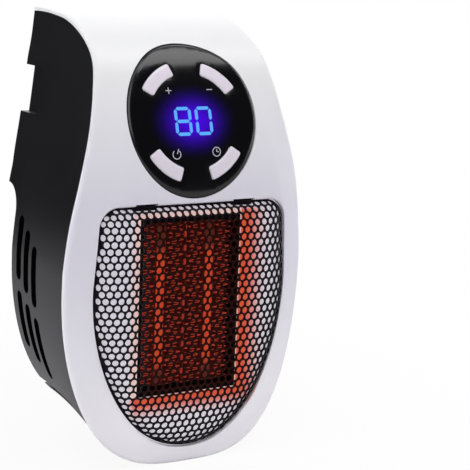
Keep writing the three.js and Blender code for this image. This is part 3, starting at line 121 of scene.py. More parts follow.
# Tray, window and grille
TRAY_FLOOR = 61.8
TRAY_WALL = 1.8
TRAY_MARGIN = 0.1
RECESS_MOUTH = 65.0
RECESS_EASE = 0.7
RECESS_FLARE = 0.6
WINDOW_MID = 65.8
WINDOW_HALF = (22.9, 36.3)
GRILLE = {"half": 43.6, "top": 107.61, "bottom": 7.6, "corner": 8.0, "lean": 1.6, "power": 2.1}
GRILLE_PROUD = 6.8
GRILLE_ROLL = 14.0
GRILLE_RIM = 0.6
GRILLE_WELD = 0.02
TRAY_REACH = TRAY_FLOOR + GRILLE_PROUD + OVERRUN
CLIP_PLACES = (-22.0, 22.0)
CLIP_HALF = 4.6
CLIP_DEPTHS = (-63.7, -62.1)
CLIP_HEIGHTS = (106.0, 108.5)
CLIP_SEAT = 0.25
CLIP_CLEAR = 6.0
CLIP_EASE = 0.3

# Fins and heating bars
FIN_FRONT = -57.3
FIN_BACK = -47.5
FIN_WELD = 0.01
BAR_PLACE = 11.19
BAR_GLOW_MID = 64.0

# Control panel
PANEL_SHARE = 0.382
PANEL_HALF_ARC = 30.7
PANEL_HALF_WIDTH = 28.9
PANEL_CLEAR = 12.0
LENS_THICK = 2.0
LENS_LIFT = 0.12
LENS_GAP = 0.2
LEDGE = 2.0
LEDGE_GRIP = 0.25
LEDGE_THICK = 1.8
KEY_ANGLES = {"key_plus": -38, "key_minus": 38, "key_standby": -143, "key_timer": 143}
KEY_RADII = (19.2, 24.7)
KEY_SPAN = 40.0
KEY_DROP = 1.4
KEY_SEAT = 0.25
KEY_CORNER = 1.1
KEY_LIFT = 0.35
KEY_DEEP = 3.2
DIGIT_DROP = 1.6
DIGIT_PLACES = {-8.3: "abcdefg", 1.0: "abcdef"}
DIGIT_SIZE = {"width": 7.55, "height": 11.5, "thick": 1.3, "gap": 0.26}
SIGN_RADIUS = 15.6
SIGN_THICK = 0.34
SIGN_HALF = 1.3
SIGN_RING = 1.75
SIGN_SPLIT = 0.02

# Rear housing; depths are places on y, and heights on z
NOTCH_DEPTH = 3.75
NOTCH_HEIGHTS = (137.4, 156.9)
NOTCH_FRONT = -10.8
NOTCH_REAR = 18.0
NOTCH_INNER = 30.0
GROOVE_LENGTH = 39.4
GROOVE_HEIGHT = 22.6
GROOVE_DEPTH = 3.0
GROOVE_WIDTH = 3.4
VENT_WIDTH = 5.5
SIDE_VENTS = [
    (-25.6, (30.5, 56.9), (61.4, 86.7)),
    (-16.8, (35.4, 60.9), (65.5, 91.8)),
    (-8.3, (40.3, 64.8), (69.5, 96.5)),
]
REAR_SLOT_WIDTH = 4.4
REAR_SLOT_STEP = 10
REAR_SLOTS = ((33, 57), (64, 90))
REAR_SLOT_DEPTHS = (-5, 5)
SCREW_PLACES = ((20, 21, -50, 0.0), (30, 166, -34, BLOCK_DEPTH))
TUBE_RADIUS = 5.0
TUBE_FLOOR = 2.5
BORE_RADIUS = 3.6
BORE_MOUTH = 4.2
SCREW_HOLE = 1.8
RIB_PLACE = 12.0
RIB_HEIGHTS = (117.0, 131.0)
RIB_WIDTH = 6.0
RIB_DEPTHS = (11.2, 13.5)
POST_PLACE = 24.2
POST_RADIUS = 2.7
POST_DEPTHS = (7.5, 11.9)
POST_HOLE = 1.5
POST_HOLE_DEPTHS = (7.0, 10.5)

# Plug
DISC_RADIUS = 18.7
DISC_EASE = 0.7
DISC_GROOVE = (16.2, 15.1)
DISC_GROOVE_DEEP = 0.35
FLANGE_RADIUS = 20.8
FLANGE_DEPTHS = (7.5, 9.9)
SPIGOT_RADIUS = 8.0
SPIGOT_FRONT = -1.5
BLADE_PLACE = 6.35
BLADE_HEIGHT = 156.1
BLADE_HALF_WIDTH = 3.175
BLADE_HALF_THICK = 0.75
BLADE_LENGTH = 16.9
BLADE_CORNER = 1.1
BLADE_EASE = 0.16
BLADE_HOLE = 1.55
BLADE_HOLE_BACK = 4.0
BLADE_SLOT = (1.0, 3.45)
SLOT_FLOOR = 9.2
BLADE_ROOT = 9.5
PIN_HEIGHT = FACE_Z - 8.1
PIN_RADIUS = 2.4
PIN_SLOT = 2.65
PIN_LENGTH = 21.4

# Rocker switch
ROCKER_PLACE = (-5.5, 122.9)
ROCKER_FACE = 45.6
ROCKER_PIVOT = ROCKER_FACE + SEAT
ROCKER_RADIUS = 8.6
ROCKER_HALF_THICK = 2.2
ROCKER_DISH = 0.9
ROCKER_TILT = -10.0
ROCKER_EDGE = (0.8, 0.4)
HOLDER_RADIUS = 9.8
HOLDER_DEEP = 17.0
HOLDER_WELL = 9.1
HOLDER_WELL_DEEP = 4.0
HOLDER_RIM = 11.3
TAB_PLACE = 4.6
TAB_HALVES = (2.4, 0.4)
TAB_DEEP = (24.0, 16.7)
SWITCH_PAD = 12.8
SWITCH_PAD_THICK = 5.0
SWITCH_WELL = 10.1

# Looks: how far the heater's and the display's glow reach, and colours with no setting of their own
GLOW_REACH = {"right": 13.0, "left": 4.0, "above": 3.6, "below": 9.5}
DISPLAY_REACH = (23.5, 18.0)
BLACK = (0.0, 0.0, 0.0)
SHELL_CLOUD = (0.78, 0.76, 0.86)
# Painted glow of the heater on the tray's floor: a base colour and an emission
TRAY_PAINTED_GLOW = (0.93, 0.47, 0.40)
TRAY_PAINTED_GLOW_LIGHT = (0.50, 0.31, 0.28)
HOUSING_WEAR = (0.03, 0.03, 0.036)
# Painted shade for the walls of the side vents
VENT_PAINTED_SHADE = (0.0015, 0.0015, 0.002)
GRILLE_FLECK = (0.03, 0.026, 0.034)
# Painted red glow of the fins on the grille in front of the window
GRILLE_PAINTED_GLOW = (0.006, 0.0015, 0.001)
BOARD_GREEN = (0.012, 0.1, 0.035)
BOARD_TRACK = (0.03, 0.2, 0.07)
WEAVE_PALE = (0.56, 0.53, 0.49)
WEAVE_DARK = (0.34, 0.31, 0.28)
FIN_SHADE = (0.030, 0.0012, 0.0004)
FIN_DARK = (0.004, 0.0, 0.0)
FIN_METALS = ((0.10, 0.03, 0.02), (0.22, 0.08, 0.05))
BAR_DARK = (0.035, 0.001, 0.0)
CENTRE_DARK = (0.03, 0.0006, 0.0)
CENTRE_PAINTED_GLOW = (0.34, 0.020, 0.012)

# Stage: the photograph's view, in degrees, millimetres and pixels, and the light, in metres
VIEW_ANGLES = {"azimuth": -31.5, "elevation": 10.7, "roll": 2.2}
VIEW_TARGET = (0, -25, 90)
VIEW_DISTANCE = 650.0
VIEW_SHIFT = (36.62, -1.99)
PHOTO_FOCAL = 1546.0
PHOTO_SIZE = 470.0
SENSOR = 36.0
LAMP_AIM = (0, -0.04, -0.06)
WORLD_LIGHT = 0.055
FLOOR_REACH = 0.6
FLOOR_NEAR_WHITE = 0.93
FLOOR_FADE = (0.06, 0.24)


# Curves and outlines

def catmull(points, samples=160):
    """Centripetal spline through the points, as one dense line."""
    p = np.array(points, float)
    p = np.vstack([2 * p[0] - p[1], p, 2 * p[-1] - p[-2]])
    line = []
    for i in range(1, len(p) - 2):
        a, b, c, d = p[i - 1:i + 3]
        d0, d1, d2 = (np.linalg.norm(v) ** 0.5 for v in (b - a, c - b, d - c))
        m0 = ((b - a) / d0 - (c - a) / (d0 + d1) + (c - b) / d1) * d1
        m1 = ((c - b) / d1 - (d - b) / (d1 + d2) + (d - c) / d2) * d1
        t = np.linspace(0, 1, samples, endpoint=False)[:, None]
        line.append((2 * t**3 - 3 * t**2 + 1) * b + (t**3 - 2 * t**2 + t) * m0
                    + (3 * t**2 - 2 * t**3) * c + (t**3 - t**2) * m1)
    return np.vstack([*line, p[-2][None]])


class Seam:
    """The line where shell and housing meet, in the y-z plane, by its share of length."""

    def __init__(self):
        ends = [(BLOCK_DEPTH, HEIGHT)]
        self.line = catmull(ends + [(-a * SEAM_DEPTH, b * HEIGHT) for a, b in SEAM_SHARES])
        step = np.linalg.norm(np.diff(self.line, axis=0), axis=1)
        run = np.concatenate([[0], np.cumsum(step)])
        self.length = run[-1]
        self.share = run / run[-1]
        way = np.gradient(self.line, run, axis=0)
        self.way = way / np.linalg.norm(way, axis=1)[:, None]

    def at(self, share):
        """A place on the seam, y and z, and its outward way, y and z."""
        y, z, way_y, way_z = (np.interp(share, self.share, column) for column in (*self.line.T, *self.way.T))
        return y, z, way_z, -way_y

    def share_at_height(self, height):
        first = np.argmax(self.line[:, 1] < HEIGHT * 0.995)
        return np.interp(-np.asarray(height), -self.line[first:, 1], self.share[first:])


seam = Seam()


def blended(table, share):
    """A smooth curve through a table of pairs, at some share."""
    xs, vs = (np.array(column, float) for column in zip(*table))
    share = np.clip(share, xs[0], xs[-1])
    i = np.clip(np.searchsorted(xs, share, side="left") - 1, 0, len(xs) - 2)
    before, after = np.maximum(i - 1, 0), np.minimum(i + 2, len(xs) - 1)
    slope0 = (vs[i + 1] - vs[before]) / (xs[i + 1] - xs[before])
    slope1 = (vs[after] - vs[i]) / (xs[after] - xs[i])
    span = xs[i + 1] - xs[i]
    t = (share - xs[i]) / span
    return (vs[i] * (1 + 2 * t) * (1 - t) ** 2 + slope0 * span * t * (1 - t) ** 2
            + vs[i + 1] * t * t * (3 - 2 * t) + slope1 * span * t * t * (t - 1))


def half_width(height):
    """Half the body's width at some height."""
    height = np.asarray(height, float)
    drop = (WIDEST - np.clip(height, 0, WIDEST)) / WIDEST
    low = HALF_WIDTH * np.maximum(1 - drop**2, 0) ** (1 / BOTTOM_POWER)
    high = HALF_WIDTH * blended(UPPER_SHARES, (height - WIDEST) / (HEIGHT - WIDEST))
    return np.where(height < WIDEST, low, high)


def plateau_rise(height):
    """Height of the front's middle above the seam surface, at some height."""
    s = np.clip((CROWN_START - np.asarray(height, float)) / (CROWN_START - CROWN_FULL), 0, 1)
    return SHELL_RIM + CROWN * s * s * (3 - 2 * s)


def nearest_on(line, points, closed=False):
    """Distance from each point to a line of points, with the nearest segment's number."""
    a = line if closed else line[:-1]
    b = np.roll(line, -1, axis=0) if closed else line[1:]
    along = b - a
    span = np.maximum((along**2).sum(1), 1e-12)
    best = np.full(len(points), np.inf)
    which = np.zeros(len(points), int)
    for start in range(0, len(points), 4000):
        part = points[start:start + 4000]
        t = np.clip(((part[:, None] - a) * along).sum(2) / span, 0, 1)
        gap = np.linalg.norm(part[:, None] - (a + t[..., None] * along), axis=2)
        which[start:start + 4000] = gap.argmin(1)
        best[start:start + 4000] = gap.min(1)
    return best, which


edge_shares = 1 - (1 - np.linspace(0, 1, 420)) ** 2
edge_line = np.stack([half_width(seam.at(edge_shares)[1]), edge_shares * seam.length], 1)


def rounding(gap, reach, drop):
    """How far an edge has fallen away, from the distance to it."""
    return drop * np.maximum(0, 1 - gap / reach) ** 2


def front_rise(x, share, lip=0.0):
    """Height of the shell's front above the seam surface."""
    places = np.stack([np.abs(x).ravel(), (share * seam.length).ravel()], 1)
    gap = nearest_on(edge_line, places)[0].reshape(x.shape)
    full = plateau_rise(seam.at(share)[1]) - SHELL_RIM
    ramp = np.minimum(gap / FLANK, 1)
    rise = SHELL_RIM + full * (1 - (1 - ramp) ** FLANK_POWER)
    return rise - rounding(gap, 1.5 * max(lip, 0.01), lip)


def row_shares(inset, upper, lower, tip):
    """Shares of the seam's length for the rows of a form, close together at the foot."""
    top = np.linspace(0, float(seam.share_at_height(WIDEST)), upper, endpoint=False)
    angle = np.linspace(math.pi / 2, math.radians(tip), lower)
    heights = inset + (WIDEST - inset) * (1 - np.cos(angle))
    return np.concatenate([top, seam.share_at_height(heights)])


def inset_half_width(shares, inset):
    """Half the width at which the edge line is one inset away."""
    full = half_width(seam.at(shares)[1])
    low, high = np.zeros_like(full), full.copy()
    for _ in range(18 if inset > 0 else 0):
        middle = (low + high) / 2
        gap = nearest_on(edge_line, np.stack([middle, shares * seam.length], 1))[0]
        low, high = np.where(gap > inset, middle, low), np.where(gap > inset, high, middle)
    return high


def bottom_lift(y):
    """Height of the housing's underside, which sweeps up to the rear."""
    forward = np.clip(-np.asarray(y, float) / SEAM_DEPTH, 0, 1)
    return HEEL_RISE * (1 - forward**SWEEP_POWER)


def housing_half_width(y, height):
    """Half the housing's width, which tapers to the rear below the crown."""
    fade = np.clip((CROWN_START - height) / TAPER_REACH, 0, 1)
    back = np.clip((y + SEAM_DEPTH) / SEAM_DEPTH, 0, TAPER_LIMIT)
    return half_width(height) - SIDE_TAPER * fade * back


def grille_outline(grow=0.0, bottom=60, corner=14):
    """Half ellipse below the widest height and a round-cornered box above it."""
    half, low = GRILLE["half"] + grow, WIDEST - GRILLE["bottom"] + grow
    angle = np.linspace(-math.pi / 2, 0, bottom)
    lower = np.stack([half * np.cos(angle).clip(0) ** (2 / GRILLE["power"]),
                      WIDEST + low * np.sin(angle)], 1)
    turn = GRILLE["corner"] + grow
    angle = np.linspace(0, math.pi / 2, corner)
    upper = np.stack([half - GRILLE["lean"] - turn + turn * np.cos(angle),
                      GRILLE["top"] + grow - turn + turn * np.sin(angle)], 1)
    right = np.vstack([lower, upper])
    return np.vstack([right, (right[1:] * (-1, 1))[::-1]])


def oval(cx, cy, rx, ry, sides):
    angle = np.linspace(0, 2 * math.pi, sides, endpoint=False)
    return np.stack([cx + rx * np.cos(angle), cy + ry * np.sin(angle)], 1)


def slot_outline(centre, low, high, width, steps=10):
    """An upright slot with round ends."""
    r = width / 2
    angle = np.linspace(0, math.pi, steps)
    top = np.stack([centre + r * np.cos(angle), high - r + r * np.sin(angle)], 1)
    return np.vstack([top, np.stack([centre - r * np.cos(angle), low + r - r * np.sin(angle)], 1)])


def rounded(corners, radius, steps=5):
    """A polygon with each corner turned into an arc."""
    corners = np.array(corners, float)
    out = []
    for i, corner in enumerate(corners):
        before = corners[i - 1] - corner
        after = corners[(i + 1) % len(corners)] - corner
        before, after = before / np.linalg.norm(before), after / np.linalg.norm(after)
        half = math.acos(np.clip(before @ after, -1, 1)) / 2
        reach = radius / math.tan(half)
        centre = corner + (before + after) / np.linalg.norm(before + after) * radius / math.sin(half)
        start = corner + before * reach - centre
        end = corner + after * reach - centre
        a0, a1 = math.atan2(start[1], start[0]), math.atan2(end[1], end[0])
        turn = (a1 - a0 + math.pi) % (2 * math.pi) - math.pi
        for t in np.linspace(0, 1, steps):
            out.append(centre + radius * np.array([math.cos(a0 + turn * t), math.sin(a0 + turn * t)]))
    return np.array(out)


# Meshes

def to_frame(points):
    points = np.asarray(points, float)
    return (points - (0, FACE_Y, FACE_Z)) * MM


def new_piece(name, points, faces, smooth=35.0):
    """A mesh object at the origin, from points in millimetres."""
    mesh = bpy.data.meshes.new(name)
    mesh.from_pydata(to_frame(points).tolist(), [], [list(f) for f in faces])
    mesh.validate()
    piece = bpy.data.objects.new(name, mesh)
    bpy.context.scene.collection.objects.link(piece)
    tidy_normals(piece, smooth)
    return piece


def tidy_normals(piece, smooth=35.0):
    """Merges doubles and turns the faces outwards."""
    work = bmesh.new()
    work.from_mesh(piece.data)
    bmesh.ops.remove_doubles(work, verts=work.verts, dist=WELD)
    if work.faces:
        bmesh.ops.delete(work, geom=[v for v in work.verts if not v.link_faces], context="VERTS")
    bmesh.ops.recalc_face_normals(work, faces=work.faces)
    if work.faces and work.calc_volume() < 0:
        bmesh.ops.reverse_faces(work, faces=work.faces)
    work.to_mesh(piece.data)
    work.free()
    shade(piece, smooth)


def shade(piece, smooth):
    piece.data.shade_smooth()
    piece.data.set_sharp_from_angle(angle=math.radians(smooth))


def baked(piece):
    """Turns the modifiers' result into the piece's own mesh."""
    shot = piece.evaluated_get(bpy.context.evaluated_depsgraph_get())
    mesh = bpy.data.meshes.new_from_object(shot)
    old = piece.data
    piece.modifiers.clear()
    piece.data = mesh
    bpy.data.meshes.remove(old)
    mesh.name = piece.name
    return piece


def discard(*pieces):
    """Removes pieces, with their meshes."""
    for piece in pieces:
        mesh = piece.data
        bpy.data.objects.remove(piece)
        if mesh.users == 0:
            bpy.data.meshes.remove(mesh)


def carve(target, cutter, operation="DIFFERENCE"):
    """Cuts a piece with another, which is used up; or joins them, or keeps what both share."""
    cut = target.modifiers.new("cut", "BOOLEAN")
    cut.solver = "MANIFOLD"
    cut.operation = operation
    cut.object = cutter
    bpy.context.view_layer.update()
    baked(target)
    discard(cutter)
    if not target.data.polygons:
        raise RuntimeError(f"{target.name} was lost in a cut")
    return target


def tube_faces(rings, count):
    """Sides and end caps of a tube through rings of equal count."""
    faces = []
    for r in range(rings - 1):
        for i in range(count):
            a, b = r * count + i, r * count + (i + 1) % count
            faces.append((a, b, b + count, a + count))
    last = (rings - 1) * count
    return [*faces, tuple(range(count - 1, -1, -1)), tuple(range(last, last + count))]


def loft(name, rings, smooth=35.0):
    return new_piece(name, np.vstack(rings), tube_faces(len(rings), len(rings[0])), smooth)


def along(axis, outline, place):
    """Points of a flat outline at one place on an axis: (y, z), (x, z) or (x, y)."""
    outline = np.asarray(outline, float)
    order = {"X": (1, 2), "Y": (0, 2), "Z": (0, 1)}[axis]
    points = np.zeros((len(outline), 3))
    points[:, order[0]], points[:, order[1]] = outline[:, 0], outline[:, 1]
    points[:, "XYZ".index(axis)] = place
    return points


def prism(name, axis, outline, low, high):
    return loft(name, [along(axis, outline, low), along(axis, outline, high)])


def tapered(name, axis, layers):
    """A solid through (outline, place) layers of equal count."""
    return loft(name, [along(axis, outline, place) for outline, place in layers])


def box(name, x, y, z):
    return prism(name, "X", [(y[0], z[0]), (y[1], z[0]), (y[1], z[1]), (y[0], z[1])], *x)


def turned(name, profile, axis, centre, sides=64):
    """A lathe solid from a profile of (radius, place along the axis), closed flat at its ends."""
    rings = [along(axis, oval(*centre, radius, radius, sides), place) for radius, place in profile]
    return loft(name, rings, 40.0)


def slab(name, front, back):
    """A closed solid between two surfaces with the same rows and columns."""
    rows, columns = front.shape[:2]
    points = np.vstack([front.reshape(-1, 3), back.reshape(-1, 3)])
    far = rows * columns
    faces = []
    for r in range(rows - 1):
        for c in range(columns - 1):
            a = r * columns + c
            faces.append((a, a + 1, a + columns + 1, a + columns))
            faces.append((far + a, far + a + columns, far + a + columns + 1, far + a + 1))
    for c in range(columns - 1):
        a, b = c, (rows - 1) * columns + c
        faces.append((a + 1, a, far + a, far + a + 1))
        faces.append((b, b + 1, far + b + 1, far + b))
    for r in range(rows - 1):
        a, b = r * columns, r * columns + columns - 1
        faces.append((a, a + columns, far + a + columns, far + a))
        faces.append((b + columns, b, far + b, far + b + columns))
    return new_piece(name, points, faces, 30.0)


def loop_edges(first, count):
    return [(first + i, first + (i + 1) % count) for i in range(count)]


def triangulated(points, edges):
    """Flat points, the faces between them and the faces' middles, with the edges kept."""
    found, _, faces, *_ = delaunay_2d_cdt([Vector(p) for p in points], edges, [], 0, 1e-6)
    flat = np.array([tuple(p) for p in found])
    return flat, faces, np.array([flat[list(f)].mean(0) for f in faces])


def inside(points, outline):
    """Which points lie in a closed outline."""
    a, b = outline, np.roll(outline, -1, axis=0)
    x, y = points[:, 0][:, None], points[:, 1][:, None]
    crosses = (a[:, 1] > y) != (b[:, 1] > y)
    with np.errstate(divide="ignore", invalid="ignore"):
        at = (b[:, 0] - a[:, 0]) * (y - a[:, 1]) / (b[:, 1] - a[:, 1]) + a[:, 0]
    return (crosses & (x < at)).sum(1) % 2 == 1


def in_area(points, outer, holes):
    keep = inside(points, outer)
    for hole in holes:
        keep &= ~inside(points, hole)
    return keep


def sheet_mesh(outer, holes, spacing, rings=()):
    """Triangles of a flat area with holes, with inner points so that it can be bent."""
    loops = [outer, *holes, *rings]
    (x0, y0), (x1, y1) = outer.min(0), outer.max(0)
    grid = np.stack(np.meshgrid(np.arange(x0, x1, spacing), np.arange(y0, y1, spacing)), -1).reshape(-1, 2)
    grid = grid[in_area(grid, outer, holes)]
    for loop in loops:
        if len(grid):
            grid = grid[nearest_on(loop, grid, True)[0] > spacing * 0.35]
    edges, start = [], 0
    for loop in loops:
        edges += loop_edges(start, len(loop))
        start += len(loop)
    flat, faces, middles = triangulated(np.vstack([*loops, grid]), edges)
    return flat, [f for f, k in zip(faces, in_area(middles, outer, holes)) if k]


def thick_sheet(name, flat, faces, surface, thick, smooth=35.0):
    """A solid from a flat mesh: surface(flat, depth) gives the points at that depth."""
    top, bottom = surface(flat, 0.0), surface(flat, thick)
    count = len(flat)
    solid = [tuple(f) for f in faces] + [tuple(count + i for i in reversed(f)) for f in faces]
    seen = {}
    for f in faces:
        for a, b in zip(f, (*f[1:], f[0])):
            seen[(a, b)] = True
    for a, b in seen:
        if (b, a) not in seen:
            solid.append((b, a, count + a, count + b))
    return new_piece(name, np.vstack([top, bottom]), solid, smooth)


def joined(name, pieces, smooth=35.0):
    """One piece from several, which are used up."""
    work = bmesh.new()
    for piece in pieces:
        work.from_mesh(piece.data)
    mesh = bpy.data.meshes.new(name)
    work.to_mesh(mesh)
    work.free()
    discard(*pieces)
    whole = bpy.data.objects.new(name, mesh)
    bpy.context.scene.collection.objects.link(whole)
    shade(whole, smooth)
    return whole


def bevelled(piece, width, sharper_than=30.0):
    """Breaks the edges that are sharper than an angle, in degrees."""
    ease = piece.modifiers.new("ease", "BEVEL")
    ease.width, ease.segments, ease.limit_method = width * MM, 2, "ANGLE"
    ease.angle_limit = math.radians(sharper_than)
    return baked(piece)


def walled(piece, thick, offset):
    """Gives an open sheet its thickness."""
    wall = piece.modifiers.new("wall", "SOLIDIFY")
    wall.thickness, wall.offset = thick * MM, offset
    return baked(piece)


# The control panel's own surface

class Panel:
    """Across, up the chord and out of the round panel's face."""

    def __init__(self):
        reach = PANEL_HALF_ARC / seam.length
        head, foot = self.plateau(PANEL_SHARE - reach), self.plateau(PANEL_SHARE + reach)
        self.middle = (head + foot) / 2
        chord = head - foot
        self.half_height = np.linalg.norm(chord) / 2
        self.up = chord / np.linalg.norm(chord)
        self.out = np.array([-self.up[1], self.up[0]])
        shares = PANEL_SHARE + np.linspace(1.4, -1.4, 120) * reach
        line = np.stack(self.plateau(shares), -1) - self.middle
        self.rows = line @ self.up
        self.lift = line @ self.out

    @staticmethod
    def plateau(share):
        y, z, oy, oz = seam.at(share)
        rise = plateau_rise(z)
        return np.array([y + oy * rise, z + oz * rise])

    def point(self, flat, rise=0.0):
        """Points at (across, up) on the face, raised along its outward way."""
        flat = np.asarray(flat, float)
        return self.off_chord(flat, np.interp(flat[:, 1], self.rows, self.lift) + rise)

    def off_chord(self, flat, rise):
        """Points at (across, up) on the panel's flat chord, raised square to it."""
        y = self.middle[0] + flat[:, 1] * self.up[0] + rise * self.out[0]
        z = self.middle[1] + flat[:, 1] * self.up[1] + rise * self.out[1]
        return np.stack([flat[:, 0], y, z], 1)

    def oval(self, grow=0.0, sides=120):
        return oval(0, 0, PANEL_HALF_WIDTH + grow, self.half_height + grow, sides)


panel = Panel()


def ribbon(name, low, high, rows=60):
    """The face's own curve, as a thick strip across the whole width."""
    b = np.linspace(-1.2, 1.2, rows) * panel.half_height
    top = panel.point(np.stack([np.zeros(rows), b], 1), high)[:, 1:]
    bottom = panel.point(np.stack([np.zeros(rows), b], 1), low)[:, 1:]
    wide = PANEL_HALF_WIDTH + OVERRUN
    return prism(name, "X", np.vstack([top, bottom[::-1]]), -wide, wide)


def key_outline(angle, grow=0.0, arc=14):
    """A key: a short stretch of ring with round corners, at an angle from the panel's top."""
    inner, outer = KEY_RADII[0] - grow, KEY_RADII[1] + grow
    way = math.radians(90 - angle)
    spread = math.radians(KEY_SPAN / 2)
    a = np.linspace(-1, 1, arc)
    out_turn = way + a * (spread + grow / outer)
    in_turn = way - a * (spread + grow / inner)
    corners = np.vstack([
        np.stack([outer * np.cos(out_turn), outer * np.sin(out_turn)], 1),
        np.stack([inner * np.cos(in_turn), inner * np.sin(in_turn)], 1)])
    return soften(corners, [0, arc - 1, arc, 2 * arc - 1], KEY_CORNER + grow) - (0, KEY_DROP)


def soften(loop, corners, radius, steps=6):
    """Replaces the stretch near each named corner of a loop by an arc-like curve."""
    loop = np.asarray(loop, float)
    count = len(loop)
    run = np.linalg.norm(np.roll(loop, -1, axis=0) - loop, axis=1)
    out, skip = [], {}
    for c in corners:
        ends = []
        for way in (-1, 1):
            left, i = radius, c
            while True:
                j = (i + way) % count
                span = run[j] if way < 0 else run[i]
                if span >= left:
                    ends.append((loop[i] + (loop[j] - loop[i]) * left / span, i))
                    break
                left -= span
                i = j
        skip[c] = ends
    dropped = set()
    for c, (before, after) in skip.items():
        i = before[1]
        while i != (after[1] + 1) % count:
            dropped.add(i)
            i = (i + 1) % count
    for i in range(count):
        if i in skip:
            (start, _), (end, _) = skip[i]
            for t in np.linspace(0, 1, steps):
                out.append((1 - t) ** 2 * start + 2 * t * (1 - t) * loop[i] + t * t * end)
        elif i not in dropped:
            out.append(loop[i])
    return np.array(out)


# Shader maths

class Socket:
    """A node socket that takes part in plain expressions."""

    def __init__(self, tree, link):
        self.tree, self.link = tree, link

    def _math(self, operation, *values):
        node = self.tree.nodes.new("ShaderNodeMath")
        node.operation = operation
        for slot, value in zip(node.inputs, values):
            if isinstance(value, Socket):
                self.tree.links.new(value.link, slot)
            else:
                slot.default_value = value
        return Socket(self.tree, node.outputs[0])

    def __add__(self, other):
        return self._math("ADD", self, other)

    def __radd__(self, other):
        return self._math("ADD", other, self)

    def __sub__(self, other):
        return self._math("SUBTRACT", self, other)

    def __rsub__(self, other):
        return self._math("SUBTRACT", other, self)

    def __mul__(self, other):
        return self._math("MULTIPLY", self, other)

    def __rmul__(self, other):
        return self._math("MULTIPLY", other, self)

    def __truediv__(self, other):
        return self._math("DIVIDE", self, other)

    def __pow__(self, other):
        return self._math("POWER", self, other)

    def __gt__(self, other):
        return self._math("GREATER_THAN", self, other)

    def __lt__(self, other):
        return self._math("LESS_THAN", self, other)

    def abs(self):
        return self._math("ABSOLUTE", self)

    def min(self, other):
        return self._math("MINIMUM", self, other)

    def max(self, other):
        return self._math("MAXIMUM", self, other)

    def sqrt(self):
        return self._math("SQRT", self.max(0.0))

    def clamp(self):
        return self.max(0.0).min(1.0)

    def smooth(self, low, high):
        """0 below low, 1 above high, and a smooth step between."""
        t = ((self - low) / (high - low)).clamp()
        return t * t * (3.0 - 2.0 * t)


class Nodes:
    """Makes the nodes of one tree."""

    def __init__(self, tree):
        self.tree = tree

    def node(self, kind, settings=None, **values):
        made = self.tree.nodes.new(kind)
        for key, value in (settings or {}).items():
            setattr(made, key, value)
        for key, value in values.items():
            self.join(value, made.inputs[key.replace("_", " ")])
        return made

    def join(self, value, slot):
        if isinstance(value, Socket):
            self.tree.links.new(value.link, slot)
        else:
            slot.default_value = value

    def out(self, made, name=0):
        return Socket(self.tree, made.outputs[name])

    def blend(self, factor, first, second):
        """One shader where the factor is 0, the other where it is 1."""
        made = self.node("ShaderNodeMixShader")
        for index, value in enumerate((factor, first, second)):
            self.join(value, made.inputs[index])
        return self.out(made)


class Finish(Nodes):
    """One material, with the nodes that make its look."""

    def __init__(self, name, colour, roughness, metallic=0.0, **settings):
        self.material = bpy.data.materials.new(name)
        self.material.use_nodes = True
        super().__init__(self.material.node_tree)
        self.shader = self.tree.nodes["Principled BSDF"]
        self.set("Base Color", (*colour, 1))
        self.set("Roughness", roughness)
        self.set("Metallic", metallic)
        for key, value in settings.items():
            self.set(key.replace("_", " "), value)
        self.material.diffuse_color = (*colour, 1)
        where = self.node("ShaderNodeTexCoord")
        self.place = Socket(self.tree, where.outputs["Object"])
        split = self.node("ShaderNodeSeparateXYZ", Vector=self.place)
        self.x, self.y, self.z = (Socket(self.tree, split.outputs[i]) for i in range(3))

    def height(self, low, high):
        """0 below one height and 1 above another, in millimetres from the foot."""
        return self.z.smooth(frame_z(low), frame_z(high))

    def depth(self, low, high):
        """0 in front of one depth and 1 behind another, in millimetres from the rear wall."""
        return self.y.smooth(frame_y(low), frame_y(high))

    def set(self, name, value):
        self.join(value, self.shader.inputs[name])

    def noise(self, scale, detail=2.0, rough=0.5, vector=None):
        made = self.node("ShaderNodeTexNoise", Vector=vector or self.place, Scale=scale, Detail=detail,
                         Roughness=rough)
        return self.out(made, "Fac")

    def stretched(self, sx, sy, sz):
        made = self.node("ShaderNodeMapping", Vector=self.place, Scale=(sx, sy, sz))
        return self.out(made, "Vector")

    def mix(self, factor, first, second):
        made = self.node("ShaderNodeMix", {"data_type": "RGBA"})
        for index, value in ((0, factor), (6, first), (7, second)):
            if isinstance(value, Socket):
                self.tree.links.new(value.link, made.inputs[index])
            elif index == 0:
                made.inputs[0].default_value = value
            else:
                made.inputs[index].default_value = (*value, 1)
        return Socket(self.tree, made.outputs[2])

    def bump(self, height, strength, distance):
        made = self.node("ShaderNodeBump", Height=height, Strength=strength, Distance=distance)
        self.set("Normal", self.out(made, "Normal"))

    def glow(self, colour, strength=1.0):
        self.set("Emission Color", colour if isinstance(colour, Socket) else (*colour, 1))
        self.set("Emission Strength", strength)


def dress(piece, finish):
    piece.data.materials.clear()
    piece.data.materials.append(finish.material)
    for face in piece.data.polygons:
        face.material_index = 0


def shown(piece, finish, body, slot, *nodes):
    """Finishes a piece: its material, its body and the nodes that it stands for; the slot is not used."""
    dress(piece, finish)
    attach(piece, body)
    if nodes:
        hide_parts(*nodes)


def frame_y(value):
    return (value - FACE_Y) * MM


def frame_z(value):
    return (value - FACE_Z) * MM


def scaled(colour, factor):
    return tuple(c * factor for c in colour)


# Finishes of this heater

def grille_mask(f):
    """1 inside the grille's outline, as seen from the front."""
    margin = SEAT + TRAY_MARGIN
    drop = (frame_z(WIDEST) - f.z).max(0.0) / ((WIDEST - GRILLE["bottom"] + margin) * MM)
    across = f.x.abs() / ((GRILLE["half"] + margin) * MM)
    in_curve = (across ** GRILLE["power"] + drop ** GRILLE["power"]) < 1.0
    return in_curve * (f.z < frame_z(GRILLE["top"] + margin))


